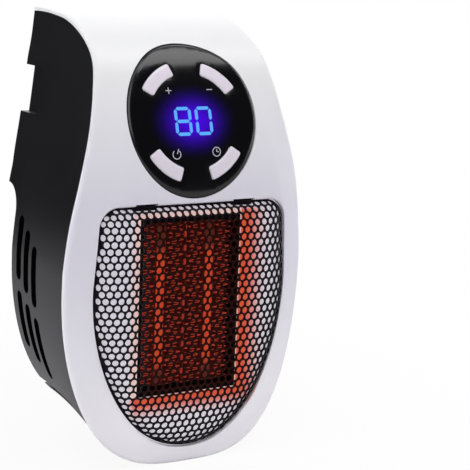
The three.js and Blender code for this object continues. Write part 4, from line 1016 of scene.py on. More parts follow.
def shell_finish(looks):
    """White, lighter at the crown and lighter and cooler towards its foot, as painted light from above and
    below, with the heater's glow painted on the tray's floor round the window.
    """
    f = Finish("shell_white", looks.shell_colour, 0.42)
    # Painted light: the crown is lighter as if lit from above, and the foot as if lit from below
    colour = f.mix(f.height(98, 176), tuple(looks.shell_colour), tuple(looks.crown_painted_light))
    colour = f.mix(f.height(15, 100), looks.foot_painted_light, colour)
    colour = f.mix(f.noise(18, 2).smooth(0.35, 0.75) * 0.1, colour, SHELL_CLOUD)
    # Painted light on the tray's floor: an even emission of tray_light, and the heater's red glow painted
    # round the window in base colour and emission
    in_tray = grille_mask(f) * (f.y < frame_y(-TRAY_FLOOR + 0.4))
    on_floor = in_tray * (f.y > frame_y(-TRAY_FLOOR - 0.35))
    half, tall = (v * MM for v in WINDOW_HALF)
    middle = frame_z(WINDOW_MID)
    past = {"right": (f.x - half).max(0.0), "left": (-half - f.x).max(0.0),
            "above": (f.z - (middle + tall)).max(0.0), "below": (middle - tall - f.z).max(0.0)}
    # The painted glow falls far to the right and below, and little to the left and above
    far = sum((past[way] / (reach * MM)) ** 2.0 for way, reach in GLOW_REACH.items()).sqrt()
    near = 1.0 - far.smooth(0.25, 1.1)
    strong = (past["right"] + past["below"]).smooth(0.0, 0.0005)
    painted_glow = f.mix(strong, TRAY_PAINTED_GLOW, looks.glow_colour)
    f.set("Base Color", f.mix(near * in_tray * (0.45 + 0.55 * strong), colour, painted_glow))
    warm = f.mix(strong, TRAY_PAINTED_GLOW_LIGHT, scaled(looks.glow_colour, 0.62))
    f.glow(f.mix(on_floor, BLACK, f.mix(near, looks.tray_light, warm)))
    f.set("Roughness", 0.40 + 0.08 * f.noise(60, 3))
    f.bump(f.noise(900, 3), 0.05, 0.0004)
    return f


def in_side_vents(f):
    """1 on the walls of the vents in the housing's sides."""
    found = None
    for place, *pair in SIDE_VENTS:
        for low, high in pair:
            radius = VENT_WIDTH / 2
            straight = ((high - low) / 2 - radius) * MM
            lengthways = ((f.z - frame_z((low + high) / 2)).abs() - straight).max(0.0)
            across = f.y - frame_y(place)
            wall = (lengthways * lengthways + across * across).sqrt() < (radius + 0.06) * MM
            found = wall if found is None else found.max(wall)
    return found


def housing_finish(looks):
    """Black with a soft grain, lighter at the heel as a painted sheen of light from below, and darkest
    inside the vents as painted shade.
    """
    f = Finish("housing_black", looks.housing_colour, 0.42, Specular_IOR_Level=0.12)
    cloud = f.noise(24, 3)
    colour = f.mix(cloud.smooth(0.3, 0.7) * 0.5, looks.housing_colour, scaled(looks.housing_colour, 1.5))
    worn = f.noise(140, 4).smooth(0.66, 0.8)
    colour = f.mix(worn * 0.25, colour, HOUSING_WEAR)
    # Painted sheen: the heel is lighter as if lit from the floor below
    colour = f.mix(f.height(25, 95), looks.heel_painted_sheen, colour)
    # Painted shade on the walls of the side vents
    f.set("Base Color", f.mix(in_side_vents(f), colour, VENT_PAINTED_SHADE))
    f.set("Roughness", 0.28 + 0.08 * cloud)
    f.bump(f.noise(2600, 2), 0.06, 0.0003)
    return f


def grille_finish(looks):
    """Black with small flecks, with the fins' red glow painted on it in front of the window, as base colour
    and emission.
    """
    f = Finish("grille_black", looks.grille_colour, 0.42, Specular_IOR_Level=0.08)
    fleck = f.noise(800, 3)
    half, tall = (v * MM for v in WINDOW_HALF)
    beside = ((f.x.abs() - half).max((f.z - frame_z(WINDOW_MID)).abs() - tall)).smooth(-0.002, 0.001)
    # Painted glow: the base colour is reddened in front of the window
    paint = f.mix(beside, GRILLE_PAINTED_GLOW, looks.grille_colour)
    f.set("Base Color", f.mix(fleck.smooth(0.55, 0.8) * 0.15 * beside, paint, GRILLE_FLECK))
    f.set("Roughness", 0.34 + 0.16 * f.noise(40, 2))
    f.glow(f.mix(beside, looks.web_glow, BLACK))
    f.bump(fleck, 0.08, 0.0002)
    return f


def metal_finish(name, colour, roughness, scratch=(1, 1, 40)):
    """Metal with fine scratches, drawn out along the axes whose scale is small."""
    f = Finish(name, colour, roughness, 1.0)
    line = f.noise(260, 3, 0.6, f.stretched(*scratch))
    patch = f.noise(50, 3)
    f.set("Base Color", f.mix(patch * 0.35, colour, scaled(colour, 0.72)))
    f.set("Roughness", roughness + 0.14 * line)
    f.bump(line, 0.05, 0.0002)
    return f


def plastic_finish(name, colour, roughness, grain=1200, depth=0.1, **settings):
    """Moulded plastic with a cloudy tone and a fine grain."""
    f = Finish(name, colour, roughness, **settings)
    cloud = f.noise(45, 3)
    f.set("Base Color", f.mix(cloud * 0.4, colour, scaled(colour, 0.75)))
    f.set("Roughness", roughness - 0.05 + 0.12 * cloud)
    f.bump(f.noise(grain, 2), depth, 0.0003)
    return f


def board_finish():
    """Green board with paler tracks."""
    f = Finish("board_green", BOARD_GREEN, 0.35)
    cells = f.node("ShaderNodeTexVoronoi", {"feature": "DISTANCE_TO_EDGE", "distance": "EUCLIDEAN"},
                   Vector=f.place, Scale=260.0)
    track = 1.0 - f.out(cells, "Distance").smooth(0.05, 0.1)
    f.set("Base Color", f.mix(track * 0.6, BOARD_GREEN, BOARD_TRACK))
    f.bump(track, 0.1, 0.0002)
    return f


def woven_finish():
    """Pale woven sleeve of the heater's own leads."""
    f = Finish("woven_glass", (0.48, 0.45, 0.41), 0.85)
    bands = f.node("ShaderNodeTexWave", {"wave_type": "BANDS", "bands_direction": "DIAGONAL"},
                   Vector=f.place, Scale=900.0, Distortion=1.5)
    weave = f.out(bands, "Fac")
    f.set("Base Color", f.mix(weave, WEAVE_DARK, WEAVE_PALE))
    f.bump(weave, 0.4, 0.0003)
    return f


def fin_finish(looks):
    """Dark metal whose front edges glow, most at mid height."""
    f = Finish("fin_strip", (0.16, 0.05, 0.035), 0.5, 0.6)
    grain = f.noise(420, 3)
    edge = 1.0 - f.depth(FIN_FRONT + 0.1, FIN_FRONT + 0.5)
    tall = 1.0 - (f.z - frame_z(BAR_GLOW_MID)).abs().smooth(0.018, 0.036)
    heat = (0.5 + 0.2 * tall) * (0.45 + 0.9 * grain)
    f.glow(f.mix(heat, FIN_DARK, f.mix(edge, FIN_SHADE, looks.fin_glow)))
    f.set("Base Color", f.mix(grain, *FIN_METALS))
    f.set("Roughness", 0.4 + 0.25 * grain)
    return f


def bar_finish(looks):
    """Dark sleeve with a painted glowing strip down its front."""
    f = Finish("bar_sleeve", (0.16, 0.05, 0.03), 0.5, 0.5)
    grain = f.noise(300, 3)
    tall = 1.0 - (f.z - frame_z(BAR_GLOW_MID)).abs().smooth(0.021, 0.027)
    front = 1.0 - f.depth(FIN_FRONT + 0.2, FIN_FRONT + 1.2)
    strip = 1.0 - (f.x.abs() - BAR_PLACE * MM).abs().smooth(0.0015, 0.0021)
    f.glow(f.mix(tall * front * strip * (0.75 + 0.4 * grain), BAR_DARK, looks.bar_glow))
    f.set("Roughness", 0.4 + 0.2 * grain)
    return f


def centre_finish():
    """Dark plate between the fins, with a painted red glow on its front."""
    f = Finish("centre_strip", (0.16, 0.05, 0.03), 0.5, 0.5)
    grain = f.noise(300, 3)
    front = 1.0 - f.depth(FIN_FRONT + 0.2, FIN_FRONT + 0.8)
    f.glow(f.mix(front * (0.4 + 0.6 * grain), CENTRE_DARK, CENTRE_PAINTED_GLOW))
    f.set("Roughness", 0.4 + 0.2 * grain)
    return f


def lens_finish(looks):
    """Glossy black, lit round the digits."""
    f = Finish("lens_black", (0.0012, 0.0010, 0.0020), 0.18, Specular_IOR_Level=0.5)
    (middle_y, middle_z), (up_y, up_z) = map(float, panel.middle), map(float, panel.up)
    up = (f.z - frame_z(middle_z)) * up_z + (f.y - frame_y(middle_y)) * up_y + DIGIT_DROP * MM
    wide, tall = (v * MM for v in DISPLAY_REACH)
    fade = (1.0 - (f.x / wide) ** 2.0 - (up / tall) ** 2.0).clamp() ** 5.0
    f.glow(f.mix(fade, BLACK, looks.display_glow))
    f.set("Roughness", 0.17 + 0.05 * f.noise(30, 2))
    return f


def key_finish(looks):
    """Pale lilac with a thin clear coat."""
    f = Finish("key_lilac", looks.key_colour, 0.3, Coat_Weight=0.2, Coat_Roughness=0.1)
    f.set("Base Color", f.mix(f.noise(90, 2) * 0.3, looks.key_colour, scaled(looks.key_colour, 0.92)))
    f.bump(f.noise(1500, 2), 0.04, 0.0003)
    return f


def light_finish(name, colour, strength, shade=None):
    """A lit sign, with a slightly darker or another shade in its grain."""
    f = Finish(name, scaled(colour, 0.05), 0.4)
    f.glow(f.mix(f.noise(400, 1) * 0.3, colour, shade or scaled(colour, 0.8)), strength)
    return f


FINISHES = {}


def make_finishes(looks):
    FINISHES.update({
        "shell": shell_finish(looks),
        "housing": housing_finish(looks),
        "grille": grille_finish(looks),
        "frame": plastic_finish("frame_black", (0.005, 0.0035, 0.0035), 0.6, Specular_IOR_Level=0.1),
        "fin": fin_finish(looks),
        "bar": bar_finish(looks),
        "centre": centre_finish(),
        "lens": lens_finish(looks),
        "key": key_finish(looks),
        "digit": light_finish("digit_blue", looks.digit_colour, 1.0, (0.11, 0.42, 0.98)),
        "mark": light_finish("mark_white", (0.78, 0.76, 0.86), 0.55),
        "contact": metal_finish("contact_nickel", (0.66, 0.65, 0.62), 0.22, (1, 30, 1)),
        "gloss": plastic_finish("switch_black", (0.010, 0.010, 0.012), 0.3, 1800, 0.05),
        "paint": plastic_finish("paint_white", (0.75, 0.75, 0.76), 0.5),
        "dark": plastic_finish("moulding_dark", (0.02, 0.02, 0.023), 0.55),
        "grey": plastic_finish("case_grey", (0.05, 0.05, 0.055), 0.5),
        "steel": metal_finish("shaft_steel", (0.55, 0.56, 0.58), 0.2, (1, 40, 1)),
        "can": metal_finish("motor_can", (0.20, 0.205, 0.215), 0.42),
        "screw_dark": metal_finish("screw_dark", (0.26, 0.27, 0.29), 0.35),
        "screw_zinc": metal_finish("screw_zinc", (0.45, 0.46, 0.49), 0.3),
        "board": board_finish(),
        "display": plastic_finish("display_dark", (0.01, 0.012, 0.03), 0.3),
        "relay": plastic_finish("relay_blue", (0.012, 0.11, 0.39), 0.3),
        "film": plastic_finish("capacitor_yellow", (0.69, 0.45, 0.04), 0.35),
        "connector": plastic_finish("connector_green", (0.03, 0.27, 0.07), 0.45),
        "sleeve": plastic_finish("sleeve_blue", (0.014, 0.017, 0.042), 0.3),
        "lead_black": plastic_finish("lead_black", (0.015, 0.015, 0.018), 0.6),
        "lead_red": plastic_finish("lead_red", (0.25, 0.022, 0.019), 0.55),
        "woven": woven_finish(),
    })


# Settings

class HeaterBodySettings(bpy.types.PropertyGroup):
    """Fineness of the shell and the housing."""
    lip: FloatProperty(name="Shell lip", description="Rounding of the shell's edge, in millimetres",
                       default=0.9, min=0.0, max=1.5)
    rows: IntProperty(name="Rows", description="Rows down the front", default=110, min=20, max=300)
    columns: IntProperty(name="Columns", description="Columns in half the front", default=26, min=8, max=80)


class HeaterGrilleSettings(bpy.types.PropertyGroup):
    """The perforated grille and the fins behind it."""
    pitch: FloatProperty(name="Hole pitch", description="Distance between holes, in millimetres",
                         default=3.22, min=2.0, max=10.0)
    hole: FloatProperty(name="Hole size", description="Diameter of a hole, in millimetres",
                        default=2.66, min=0.5, max=9.0)
    sheet: FloatProperty(name="Sheet", description="Thickness of the grille, in millimetres",
                         default=0.7, min=0.2, max=2.0)
    fold: FloatProperty(name="Fin pitch", description="Height of one fold, in millimetres",
                        default=2.0, min=0.6, max=6.0)
    strip: FloatProperty(name="Fin strip", description="Thickness of the fin strip, in millimetres",
                         default=0.2, min=0.05, max=1.0)


def colour_setting(name, description, default):
    return FloatVectorProperty(name=name, description=description, subtype="COLOR", default=default,
                               min=0, max=1)


class HeaterLookSettings(bpy.types.PropertyGroup):
    """Colours that a user would change."""
    # The crown and foot colours are lighter than the shell's own, as painted light from above and below
    shell_colour: colour_setting("Shell", "Colour of the front shell's lower part", (0.77, 0.75, 0.85))
    crown_painted_light: colour_setting("Crown", "Colour of the front shell's upper part", (0.85, 0.85, 0.86))
    foot_painted_light: colour_setting("Foot", "Colour of the front shell's lowest part", (0.96, 0.94, 1.0))
    # Painted light: an emission that lightens the tray's floor behind the grille
    tray_light: colour_setting("Tray light", "Light spread inside the white tray", (0.38, 0.35, 0.39))
    housing_colour: colour_setting("Housing", "Colour of the rear housing", (0.0036, 0.0033, 0.0055))
    # Painted sheen of light from below on the housing's heel
    heel_painted_sheen: colour_setting("Heel", "Colour of the rear housing's lowest part", (0.040, 0.036, 0.045))
    grille_colour: colour_setting("Grille", "Colour of the grille", (0.006, 0.005, 0.008))
    key_colour: colour_setting("Keys", "Colour of the keys", (0.80, 0.74, 0.84))
    digit_colour: colour_setting("Digits", "Colour of the lit digits", (0.10, 0.40, 0.95))
    display_glow: colour_setting("Display glow", "Colour of the glow round the digits", (0.062, 0.0, 0.78))
    # Painted glow on the tray's floor, in base colour and emission
    glow_colour: colour_setting("Heat glow", "Colour of the heater's glow in the tray", (0.66, 0.085, 0.035))
    fin_glow: colour_setting("Fin glow", "Colour of the fins' hot front edges", (0.60, 0.060, 0.036))
    bar_glow: colour_setting("Bar glow", "Colour of the hot bars between the fins", (0.48, 0.038, 0.010))
    web_glow: colour_setting("Web glow", "Glow on the grille in front of the fins", (0.009, 0.0002, 0.0001))


# Materials

class HEATER_OT_finishes(bpy.types.Operator):
    """Makes the materials"""
    bl_idname = "heater.finishes"
    bl_label = "Finishes"

    def execute(self, context):
        make_finishes(context.scene.heater_look)
        return {"FINISHED"}


# Front shell

def front_form(name, inset, sunk, back, rows, lower, columns, tip, lip=0.0):
    """The shell's front as a closed slab, inset from its edge and sunk below its face."""
    shares = row_shares(inset, rows, lower, tip)
    width = inset_half_width(shares, inset)
    y, z, oy, oz = seam.at(shares)
    inner = np.maximum(width - FLANK, width / 3)
    flank = np.linspace(0, 1, columns) ** FLANK_SPREAD
    right = width[:, None] + (inner - width)[:, None] * flank
    flat = inner[:, None] * np.linspace(1, 0, max(columns // 2, 3))[1:]
    half = np.hstack([right, flat])
    x = np.hstack([half, -half[:, -2::-1]])
    rise = front_rise(x, np.repeat(shares[:, None], x.shape[1], 1), lip) - sunk

    def lifted(amount):
        return np.stack([x, y[:, None] + oy[:, None] * amount, z[:, None] + oz[:, None] * amount], -1)

    return slab(name, lifted(rise), lifted(np.full_like(rise, back)))


def outer_form(name, body):
    return front_form(name, 0, 0, SEAT, body.rows, body.rows // 2, body.columns, tip=0.6, lip=body.lip)


def prism_on_panel(name, outline):
    """A straight bar through the panel, square to its chord."""
    return loft(name, [panel.off_chord(outline, rise) for rise in (-PANEL_REACH, PANEL_REACH)])


def clip_block(name, x, grow=0.0):
    """A clip on the grille's top edge or, with some growth, the notch that takes it."""
    half = CLIP_HALF + grow
    (front, back), (low, high) = CLIP_DEPTHS, CLIP_HEIGHTS
    depths = (front - CLIP_CLEAR * grow, back + grow)
    return box(name, (x - half, x + half), depths, (low - grow, high + grow))


def add_ledge(shell):
    """The ledge inside the shell that carries the lens."""
    ledge = prism_on_panel("ledge", panel.oval(LEDGE + LEDGE_GRIP))
    carve(ledge, ribbon("band", -LENS_THICK - SEAT - LEDGE_THICK, -SHELL_WALL / 2), "INTERSECT")
    carve(shell, ledge, "UNION")


def cut_recess(shell):
    """Opens the tray to the front, with a rounded mouth."""
    layers = [(grille_outline(SEAT), -TRAY_FLOOR)]
    for turn in np.linspace(0, math.pi / 2, 5):
        grow = RECESS_EASE * (1 - math.cos(turn))
        layers.append((grille_outline(SEAT + grow), RECESS_EASE * (1 - math.sin(turn)) - RECESS_MOUTH))
    layers.append((grille_outline(SEAT + RECESS_EASE + RECESS_FLARE), -TRAY_REACH))
    carve(shell, tapered("recess", "Y", layers[::-1]))


def cut_lens_seat(shell):
    """Sinks the lens into the face and opens the ledge behind it."""
    seat = prism_on_panel("seat", panel.oval(LENS_GAP))
    carve(seat, ribbon("band", -LENS_THICK - SEAT, PANEL_CLEAR), "INTERSECT")
    carve(shell, seat)
    carve(shell, prism_on_panel("hole", panel.oval(-LEDGE)))


class HEATER_OT_shell(bpy.types.Operator):
    """Makes the white front shell with its tray, its window and the seat of the round panel"""
    bl_idname = "heater.shell"
    bl_label = "Front shell"

    def execute(self, context):
        body = context.scene.heater_body
        shell = outer_form("front_shell_fine", body)
        tray = prism("tray", "Y", grille_outline(SEAT + TRAY_WALL), -TRAY_REACH, TRAY_WALL - TRAY_FLOOR)
        carve(tray, outer_form("whole", body), "INTERSECT")
        carve(shell, front_form("hollow", SHELL_WALL, SHELL_WALL, -OVERRUN, rows=60, lower=30, columns=10,
                                tip=1.5))
        carve(shell, tray, "UNION")
        add_ledge(shell)
        cut_recess(shell)
        cut_lens_seat(shell)
        half, tall = WINDOW_HALF
        carve(shell, box("window", (-half, half), (-TRAY_REACH, 0), (WINDOW_MID - tall, WINDOW_MID + tall)))
        for x in CLIP_PLACES:
            carve(shell, clip_block("notch", x, CLIP_SEAT))
        shade(shell, 32)
        shown(shell, FINISHES["shell"], "case", "white_shell", "front_shell")
        return {"FINISHED"}


# Rear housing

def cove(offset, steps=16):
    """The quarter round between the rear wall and the plug block, set in by an offset."""
    last = math.acos(offset / (BLOCK_DEPTH + offset))
    angle = np.linspace(0, last, steps)
    return np.stack([BLOCK_DEPTH - (BLOCK_DEPTH + offset) * np.cos(angle),
                     BLOCK_UNDERSIDE - COVE_HEIGHT + (COVE_HEIGHT + offset) * np.sin(angle)], 1)


STATIONS = np.append(np.linspace(-SEAM_DEPTH - OVERRUN, 0, 34),
                     [BLOCK_DEPTH - HOUSING_WALL, BLOCK_DEPTH + 5])
COARSE_STATIONS = np.append(STATIONS[:-2:4], STATIONS[-2:])


def housing_loft(name, inset, stations, lower, upper):
    """The housing's cross-sections at some places along y, drawn in by an inset."""
    rings = []
    angle = np.radians(np.linspace(1.0, 90, lower))
    plain = WIDEST * (1 - np.cos(angle))
    for y in stations:
        height = WIDEST - (WIDEST - plain) * (WIDEST - bottom_lift(y) - inset) / WIDEST
        low = np.stack([housing_half_width(y, plain) - inset, height], 1)
        z = np.linspace(WIDEST, HEIGHT, upper)[1:]
        high = np.stack([housing_half_width(y, z) - inset, z], 1)
        right = np.vstack([low, high, [[high[-1, 0], HEIGHT - FOOT_REACH]]])
        rings.append(along("Y", np.vstack([right, (right * (-1, 1))[::-1]]), y))
    return loft(name, rings)


def notch(name, side, grow=0.0):
    """A thumb notch with a round front, whose floor follows the housing's side."""
    low, high = NOTCH_HEIGHTS
    radius, centre = (high - low) / 2, (low + high) / 2
    start = NOTCH_FRONT + radius
    radius += grow
    angle = np.linspace(math.pi / 2, 1.5 * math.pi, 28)
    arc = np.stack([start + radius * np.cos(angle), centre + radius * np.sin(angle)], 1)
    outline = np.vstack([[(NOTCH_REAR, centre - radius), (NOTCH_REAR, centre + radius)], arc])
    scoop = prism(name, "X", outline, *sorted((side * NOTCH_INNER, side * SIDE_REACH)))
    return carve(scoop, housing_loft("floor", NOTCH_DEPTH + grow, STATIONS, 10, 20))


def groove(name, side, grow=0.0):
    """A scoop above the heel that deepens to the rear, where it is open."""
    rings = []
    for y in np.linspace(-GROOVE_LENGTH - grow, 5, 16):
        share = min(max((y + GROOVE_LENGTH + grow) / GROOVE_LENGTH, 0.0), 1.0)
        place = min(y, 0.0)
        face = float(housing_half_width(place, GROOVE_HEIGHT - float(bottom_lift(place))))
        deep = face + SEAT - (GROOVE_DEPTH + SEAT + grow) * share
        mouth = GROOVE_WIDTH / 2 * min(1.0, 0.25 + 0.75 * share ** 0.6) + grow
        floor = mouth * 0.8
        corners = [(side * SIDE_REACH, GROOVE_HEIGHT - mouth), (side * deep, GROOVE_HEIGHT - floor),
                   (side * deep, GROOVE_HEIGHT + floor), (side * SIDE_REACH, GROOVE_HEIGHT + mouth)]
        rings.append(along("Y", corners, y))
    return loft(name, rings)


def housing_blank(rows):
    """The housing's outer form: its side outline, cut to its cross-sections."""
    y, z, _, _ = seam.at(np.linspace(0, 1, 2 * rows))
    foot = [(-SEAM_DEPTH, FOOT_REACH), (0, FOOT_REACH)]
    outline = np.vstack([np.stack([y, z], 1), foot, cove(0)])
    housing = prism("rear_housing_fine", "X", outline, -SIDE_REACH, SIDE_REACH)
    return carve(housing, housing_loft("outside", 0, STATIONS, 34, 40), "INTERSECT")


def housing_hollow():
    """The room inside, kept one wall from every outer face."""
    front, top = -SEAM_DEPTH - 2 * OVERRUN, HEIGHT + OVERRUN
    inner = [(front, top), (front, FOOT_REACH), (-HOUSING_WALL, FOOT_REACH), *cove(HOUSING_WALL),
             (BLOCK_DEPTH - HOUSING_WALL, top)]
    hollow = prism("hollow", "X", inner, -SIDE_REACH, SIDE_REACH)
    carve(hollow, housing_loft("inside", HOUSING_WALL, COARSE_STATIONS, 16, 12), "INTERSECT")
    for side in SIDES:
        carve(hollow, notch("notch", side, HOUSING_WALL))
        carve(hollow, groove("groove", side, HOUSING_WALL))
    return hollow


def add_switch_pad(housing):
    """Levels the side round the switch and thickens it behind."""
    spot = [(SWITCH_PAD, ROCKER_FACE), (SWITCH_PAD, SIDE_REACH)]
    pad = [(SWITCH_PAD, ROCKER_FACE - SWITCH_PAD_THICK), (SWITCH_PAD, ROCKER_FACE)]
    carve(housing, turned("spot", spot, "X", ROCKER_PLACE))
    carve(housing, turned("pad", pad, "X", ROCKER_PLACE), "UNION")


def add_screw_tube(housing, blank, place, joint, end):
    """A tube from the joint to the rear face, bored for the screw's head and, at its floor, its shank."""
    whole = bpy.data.objects.new("blank", blank.copy())
    bpy.context.scene.collection.objects.link(whole)
    tube = turned("tube", [(TUBE_RADIUS, joint), (TUBE_RADIUS, REAR_REACH)], "Y", place, 40)
    carve(housing, carve(tube, whole, "INTERSECT"), "UNION")
    bore = [(BORE_RADIUS, joint + TUBE_FLOOR), (BORE_RADIUS, end - 0.5), (BORE_MOUTH, end + 0.6),
            (BORE_MOUTH, REAR_REACH)]
    carve(housing, turned("bore", bore, "Y", place, 40))
    carve(housing, turned("hole", [(SCREW_HOLE, joint - 5), (SCREW_HOLE, joint + 5)], "Y", place, 24))


def add_ribs_and_posts(housing):
    """The two ribs below the plug, and the posts inside that take the retainer's screws."""
    for side in SIDES:
        rib = slot_outline(RIB_PLACE * side, *RIB_HEIGHTS, RIB_WIDTH)
        carve(housing, prism("rib", "Y", rib, *RIB_DEPTHS), "UNION")
        place = (POST_PLACE * side, FACE_Z)
        carve(housing, turned("post", [(POST_RADIUS, y) for y in POST_DEPTHS], "Y", place, 24), "UNION")
        carve(housing, turned("hole", [(POST_HOLE, y) for y in POST_HOLE_DEPTHS], "Y", place, 24))


def cut_vents(housing):
    """The air slots through both sides and through the rear wall."""
    for place, *pair in SIDE_VENTS:
        for low, high in pair:
            vent = slot_outline(place, low, high, VENT_WIDTH)
            carve(housing, prism("vent", "X", vent, -SIDE_REACH, SIDE_REACH))
    for i in range(-2, 3):
        for low, high in REAR_SLOTS:
            slot = slot_outline(i * REAR_SLOT_STEP, low, high, REAR_SLOT_WIDTH)
            carve(housing, prism("slot", "Y", slot, *REAR_SLOT_DEPTHS))


def cut_wells(housing):
    """The round holes of the switch and of the plug disc."""
    carve(housing, turned("well", [(SWITCH_WELL, 0), (SWITCH_WELL, SIDE_REACH)], "X", ROCKER_PLACE))
    mouth = DISC_RADIUS + SEAT
    profile = [(mouth, 0), (mouth, BLOCK_DEPTH - 0.5), (mouth + 0.5, BLOCK_DEPTH + 0.1),
               (mouth + 0.5, REAR_REACH)]
    carve(housing, turned("mouth", profile, "Y", (0, FACE_Z), 96))


class HEATER_OT_housing(bpy.types.Operator):
    """Makes the black rear housing with its vents, thumb notches and plug block"""
    bl_idname = "heater.housing"
    bl_label = "Rear housing"

    def execute(self, context):
        housing = housing_blank(context.scene.heater_body.rows)
        blank = housing.data.copy()
        for side in SIDES:
            carve(housing, notch("notch", side))
            carve(housing, groove("groove", side))
        carve(housing, housing_hollow())
        add_switch_pad(housing)
        for side in SIDES:
            for x, z, joint, end in SCREW_PLACES:
                add_screw_tube(housing, blank, (side * x, z), joint, end)
        bpy.data.meshes.remove(blank)
        add_ribs_and_posts(housing)
        cut_vents(housing)
        cut_wells(housing)
        shade(housing, 28)
        shown(housing, FINISHES["housing"], "case", "black_housing", "rear_housing")
        return {"FINISHED"}


# Pieces made of one repeated part

def repeat_tree(name, one, material, border=None):
    """Points in, one plain sheet out: a copy on each point, joined to the border and welded."""
    tree = bpy.data.node_groups.new(name, "GeometryNodeTree")
    tree.interface.new_socket("Geometry", in_out="INPUT", socket_type="NodeSocketGeometry")
    tree.interface.new_socket("Merge distance", in_out="INPUT", socket_type="NodeSocketFloat")
    tree.interface.new_socket("Geometry", in_out="OUTPUT", socket_type="NodeSocketGeometry")
    node, link = tree.nodes.new, tree.links.new
    start, end = node("NodeGroupInput"), node("NodeGroupOutput")
    source = node("GeometryNodeObjectInfo")
    source.inputs["Object"].default_value = one
    put = node("GeometryNodeInstanceOnPoints")
    link(start.outputs["Geometry"], put.inputs["Points"])
    link(source.outputs["Geometry"], put.inputs["Instance"])
    both = node("GeometryNodeJoinGeometry")
    if border:
        rim = node("GeometryNodeObjectInfo")
        rim.inputs["Object"].default_value = border
        link(rim.outputs["Geometry"], both.inputs[0])
    link(put.outputs["Instances"], both.inputs[0])
    real = node("GeometryNodeRealizeInstances")
    link(both.outputs[0], real.inputs[0])
    weld = node("GeometryNodeMergeByDistance")
    link(real.outputs[0], weld.inputs["Geometry"])
    link(start.outputs["Merge distance"], weld.inputs["Distance"])
    paint = node("GeometryNodeSetMaterial")
    paint.inputs["Material"].default_value = material
    link(weld.outputs[0], paint.inputs["Geometry"])
    link(paint.outputs[0], end.inputs[0])
    return tree


def repeated(points, tree, merge):
    """The tree's result on some points, as a plain mesh."""
    modifier = points.modifiers.new("copies", "NODES")
    modifier.node_group = tree
    modifier[tree.interface.items_tree["Merge distance"].identifier] = merge * MM
    bpy.context.view_layer.update()
    return baked(points)


# Grille

class GrilleRoll:
    """The grille's rolled edge: how far along the sheet against how far in and up."""

    def __init__(self):
        inward = np.linspace(0, 1, 400) ** 2
        self.inward = inward * GRILLE_ROLL
        self.rise = (GRILLE_PROUD - SEAT) * np.sqrt(1 - (1 - inward) ** 2) + SEAT
        step = np.hypot(np.diff(self.inward), np.diff(self.rise))
        self.run = np.concatenate([[0], np.cumsum(step)])
        self.spare = self.run[-1] - GRILLE_ROLL

    def bend(self, flat, outline):
        """Points of the domed grille, from points of the flat sheet."""
        gap, which = nearest_on(outline, flat, True)
        a, b = outline, np.roll(outline, -1, axis=0)
        normal = np.stack([-(b - a)[:, 1], (b - a)[:, 0]], 1)
        normal /= np.linalg.norm(normal, axis=1)[:, None]
        gap = np.minimum(gap, self.run[-1])
        inward = np.interp(gap, self.run, self.inward)
        rise = np.interp(gap, self.run, self.rise)
        shift = inward + self.spare - gap
        flat = flat + normal[which] * shift[:, None]
        return np.stack([flat[:, 0], -TRAY_FLOOR - rise, flat[:, 1]], 1)


def hexagon(centre, pitch):
    """Corners and edge middles of the cell round a hole."""
    angle = np.radians(np.arange(30, 390, 60))
    corners = np.asarray(centre) + pitch / math.sqrt(3) * np.stack([np.cos(angle), np.sin(angle)], 1)
    middles = (corners + np.roll(corners, -1, axis=0)) / 2
    return np.stack([corners, middles], 1).reshape(-1, 2)


def perforation_cell(pitch, hole):
    """One hexagon of sheet with a round hole, centred on the frame's own origin."""
    angle = np.radians(np.arange(30, 390, 30))
    inner = hole / 2 * np.stack([np.cos(angle), np.sin(angle)], 1)
    points = along("Y", np.vstack([hexagon((0, 0), pitch), inner]), 0) + (0, FACE_Y, FACE_Z)
    count = len(inner)
    faces = [(i, (i + 1) % count, count + (i + 1) % count, count + i) for i in range(count)]
    return new_piece("perforation_cell", points, faces)


def grille_centres(outline, pitch):
    """Middles of the holes: rows of cells that fit inside the outline."""
    rise = pitch * math.sqrt(3) / 2
    middle = (GRILLE["top"] + GRILLE["bottom"]) / 2
    centres = []
    for row in range(-24, 25):
        for column in range(-18, 19):
            centres.append(((column + (0.5 if row % 2 else 0)) * pitch, middle + row * rise))
    centres = np.array(centres)
    gap = nearest_on(outline, centres, True)[0]
    return centres[inside(centres, outline) & (gap > pitch * 0.53)]


def open_edges(centres, pitch):
    """Points and edges of the cells' outer border: the edges that no neighbour shares."""
    edges, places = {}, {}
    for centre in centres:
        keys = []
        for point in hexagon(centre, pitch):
            key = (round(point[0] * 200), round(point[1] * 200))
            places.setdefault(key, point)
            keys.append(key)
        for a, b in zip(keys, keys[1:] + keys[:1]):
            if (b, a) in edges:
                del edges[(b, a)]
            else:
                edges[(a, b)] = True
    keys = sorted({key for pair in edges for key in pair})
    index = {key: i for i, key in enumerate(keys)}
    return [places[key] for key in keys], [(index[a], index[b]) for a, b in edges]


def grille_border(outline, centres, pitch):
    """The sheet between the outermost cells and the outline."""
    points, edges = open_edges(centres, pitch)
    first = len(points)
    edges += loop_edges(first, len(outline))
    way = np.roll(outline, -1, axis=0) - np.roll(outline, 1, axis=0)
    inward = np.stack([-way[:, 1], way[:, 0]], 1) / np.linalg.norm(way, axis=1)[:, None]
    ring = outline + inward * GRILLE_RIM
    gap = np.linalg.norm(ring[:, None] - centres[None], axis=2).min(1)
    flat, faces, middles = triangulated([*points, *outline, *ring[gap > pitch * 0.62]], edges)
    nearest = np.linalg.norm(middles[:, None] - centres[None], axis=2).argmin(1)
    keep = inside(middles, outline)
    for i, middle in enumerate(middles):
        if keep[i] and inside(middle[None], hexagon(centres[nearest[i]], pitch))[0]:
            keep[i] = False
    return new_piece("grille_border", along("Y", flat, 0), [f for f, k in zip(faces, keep) if k])


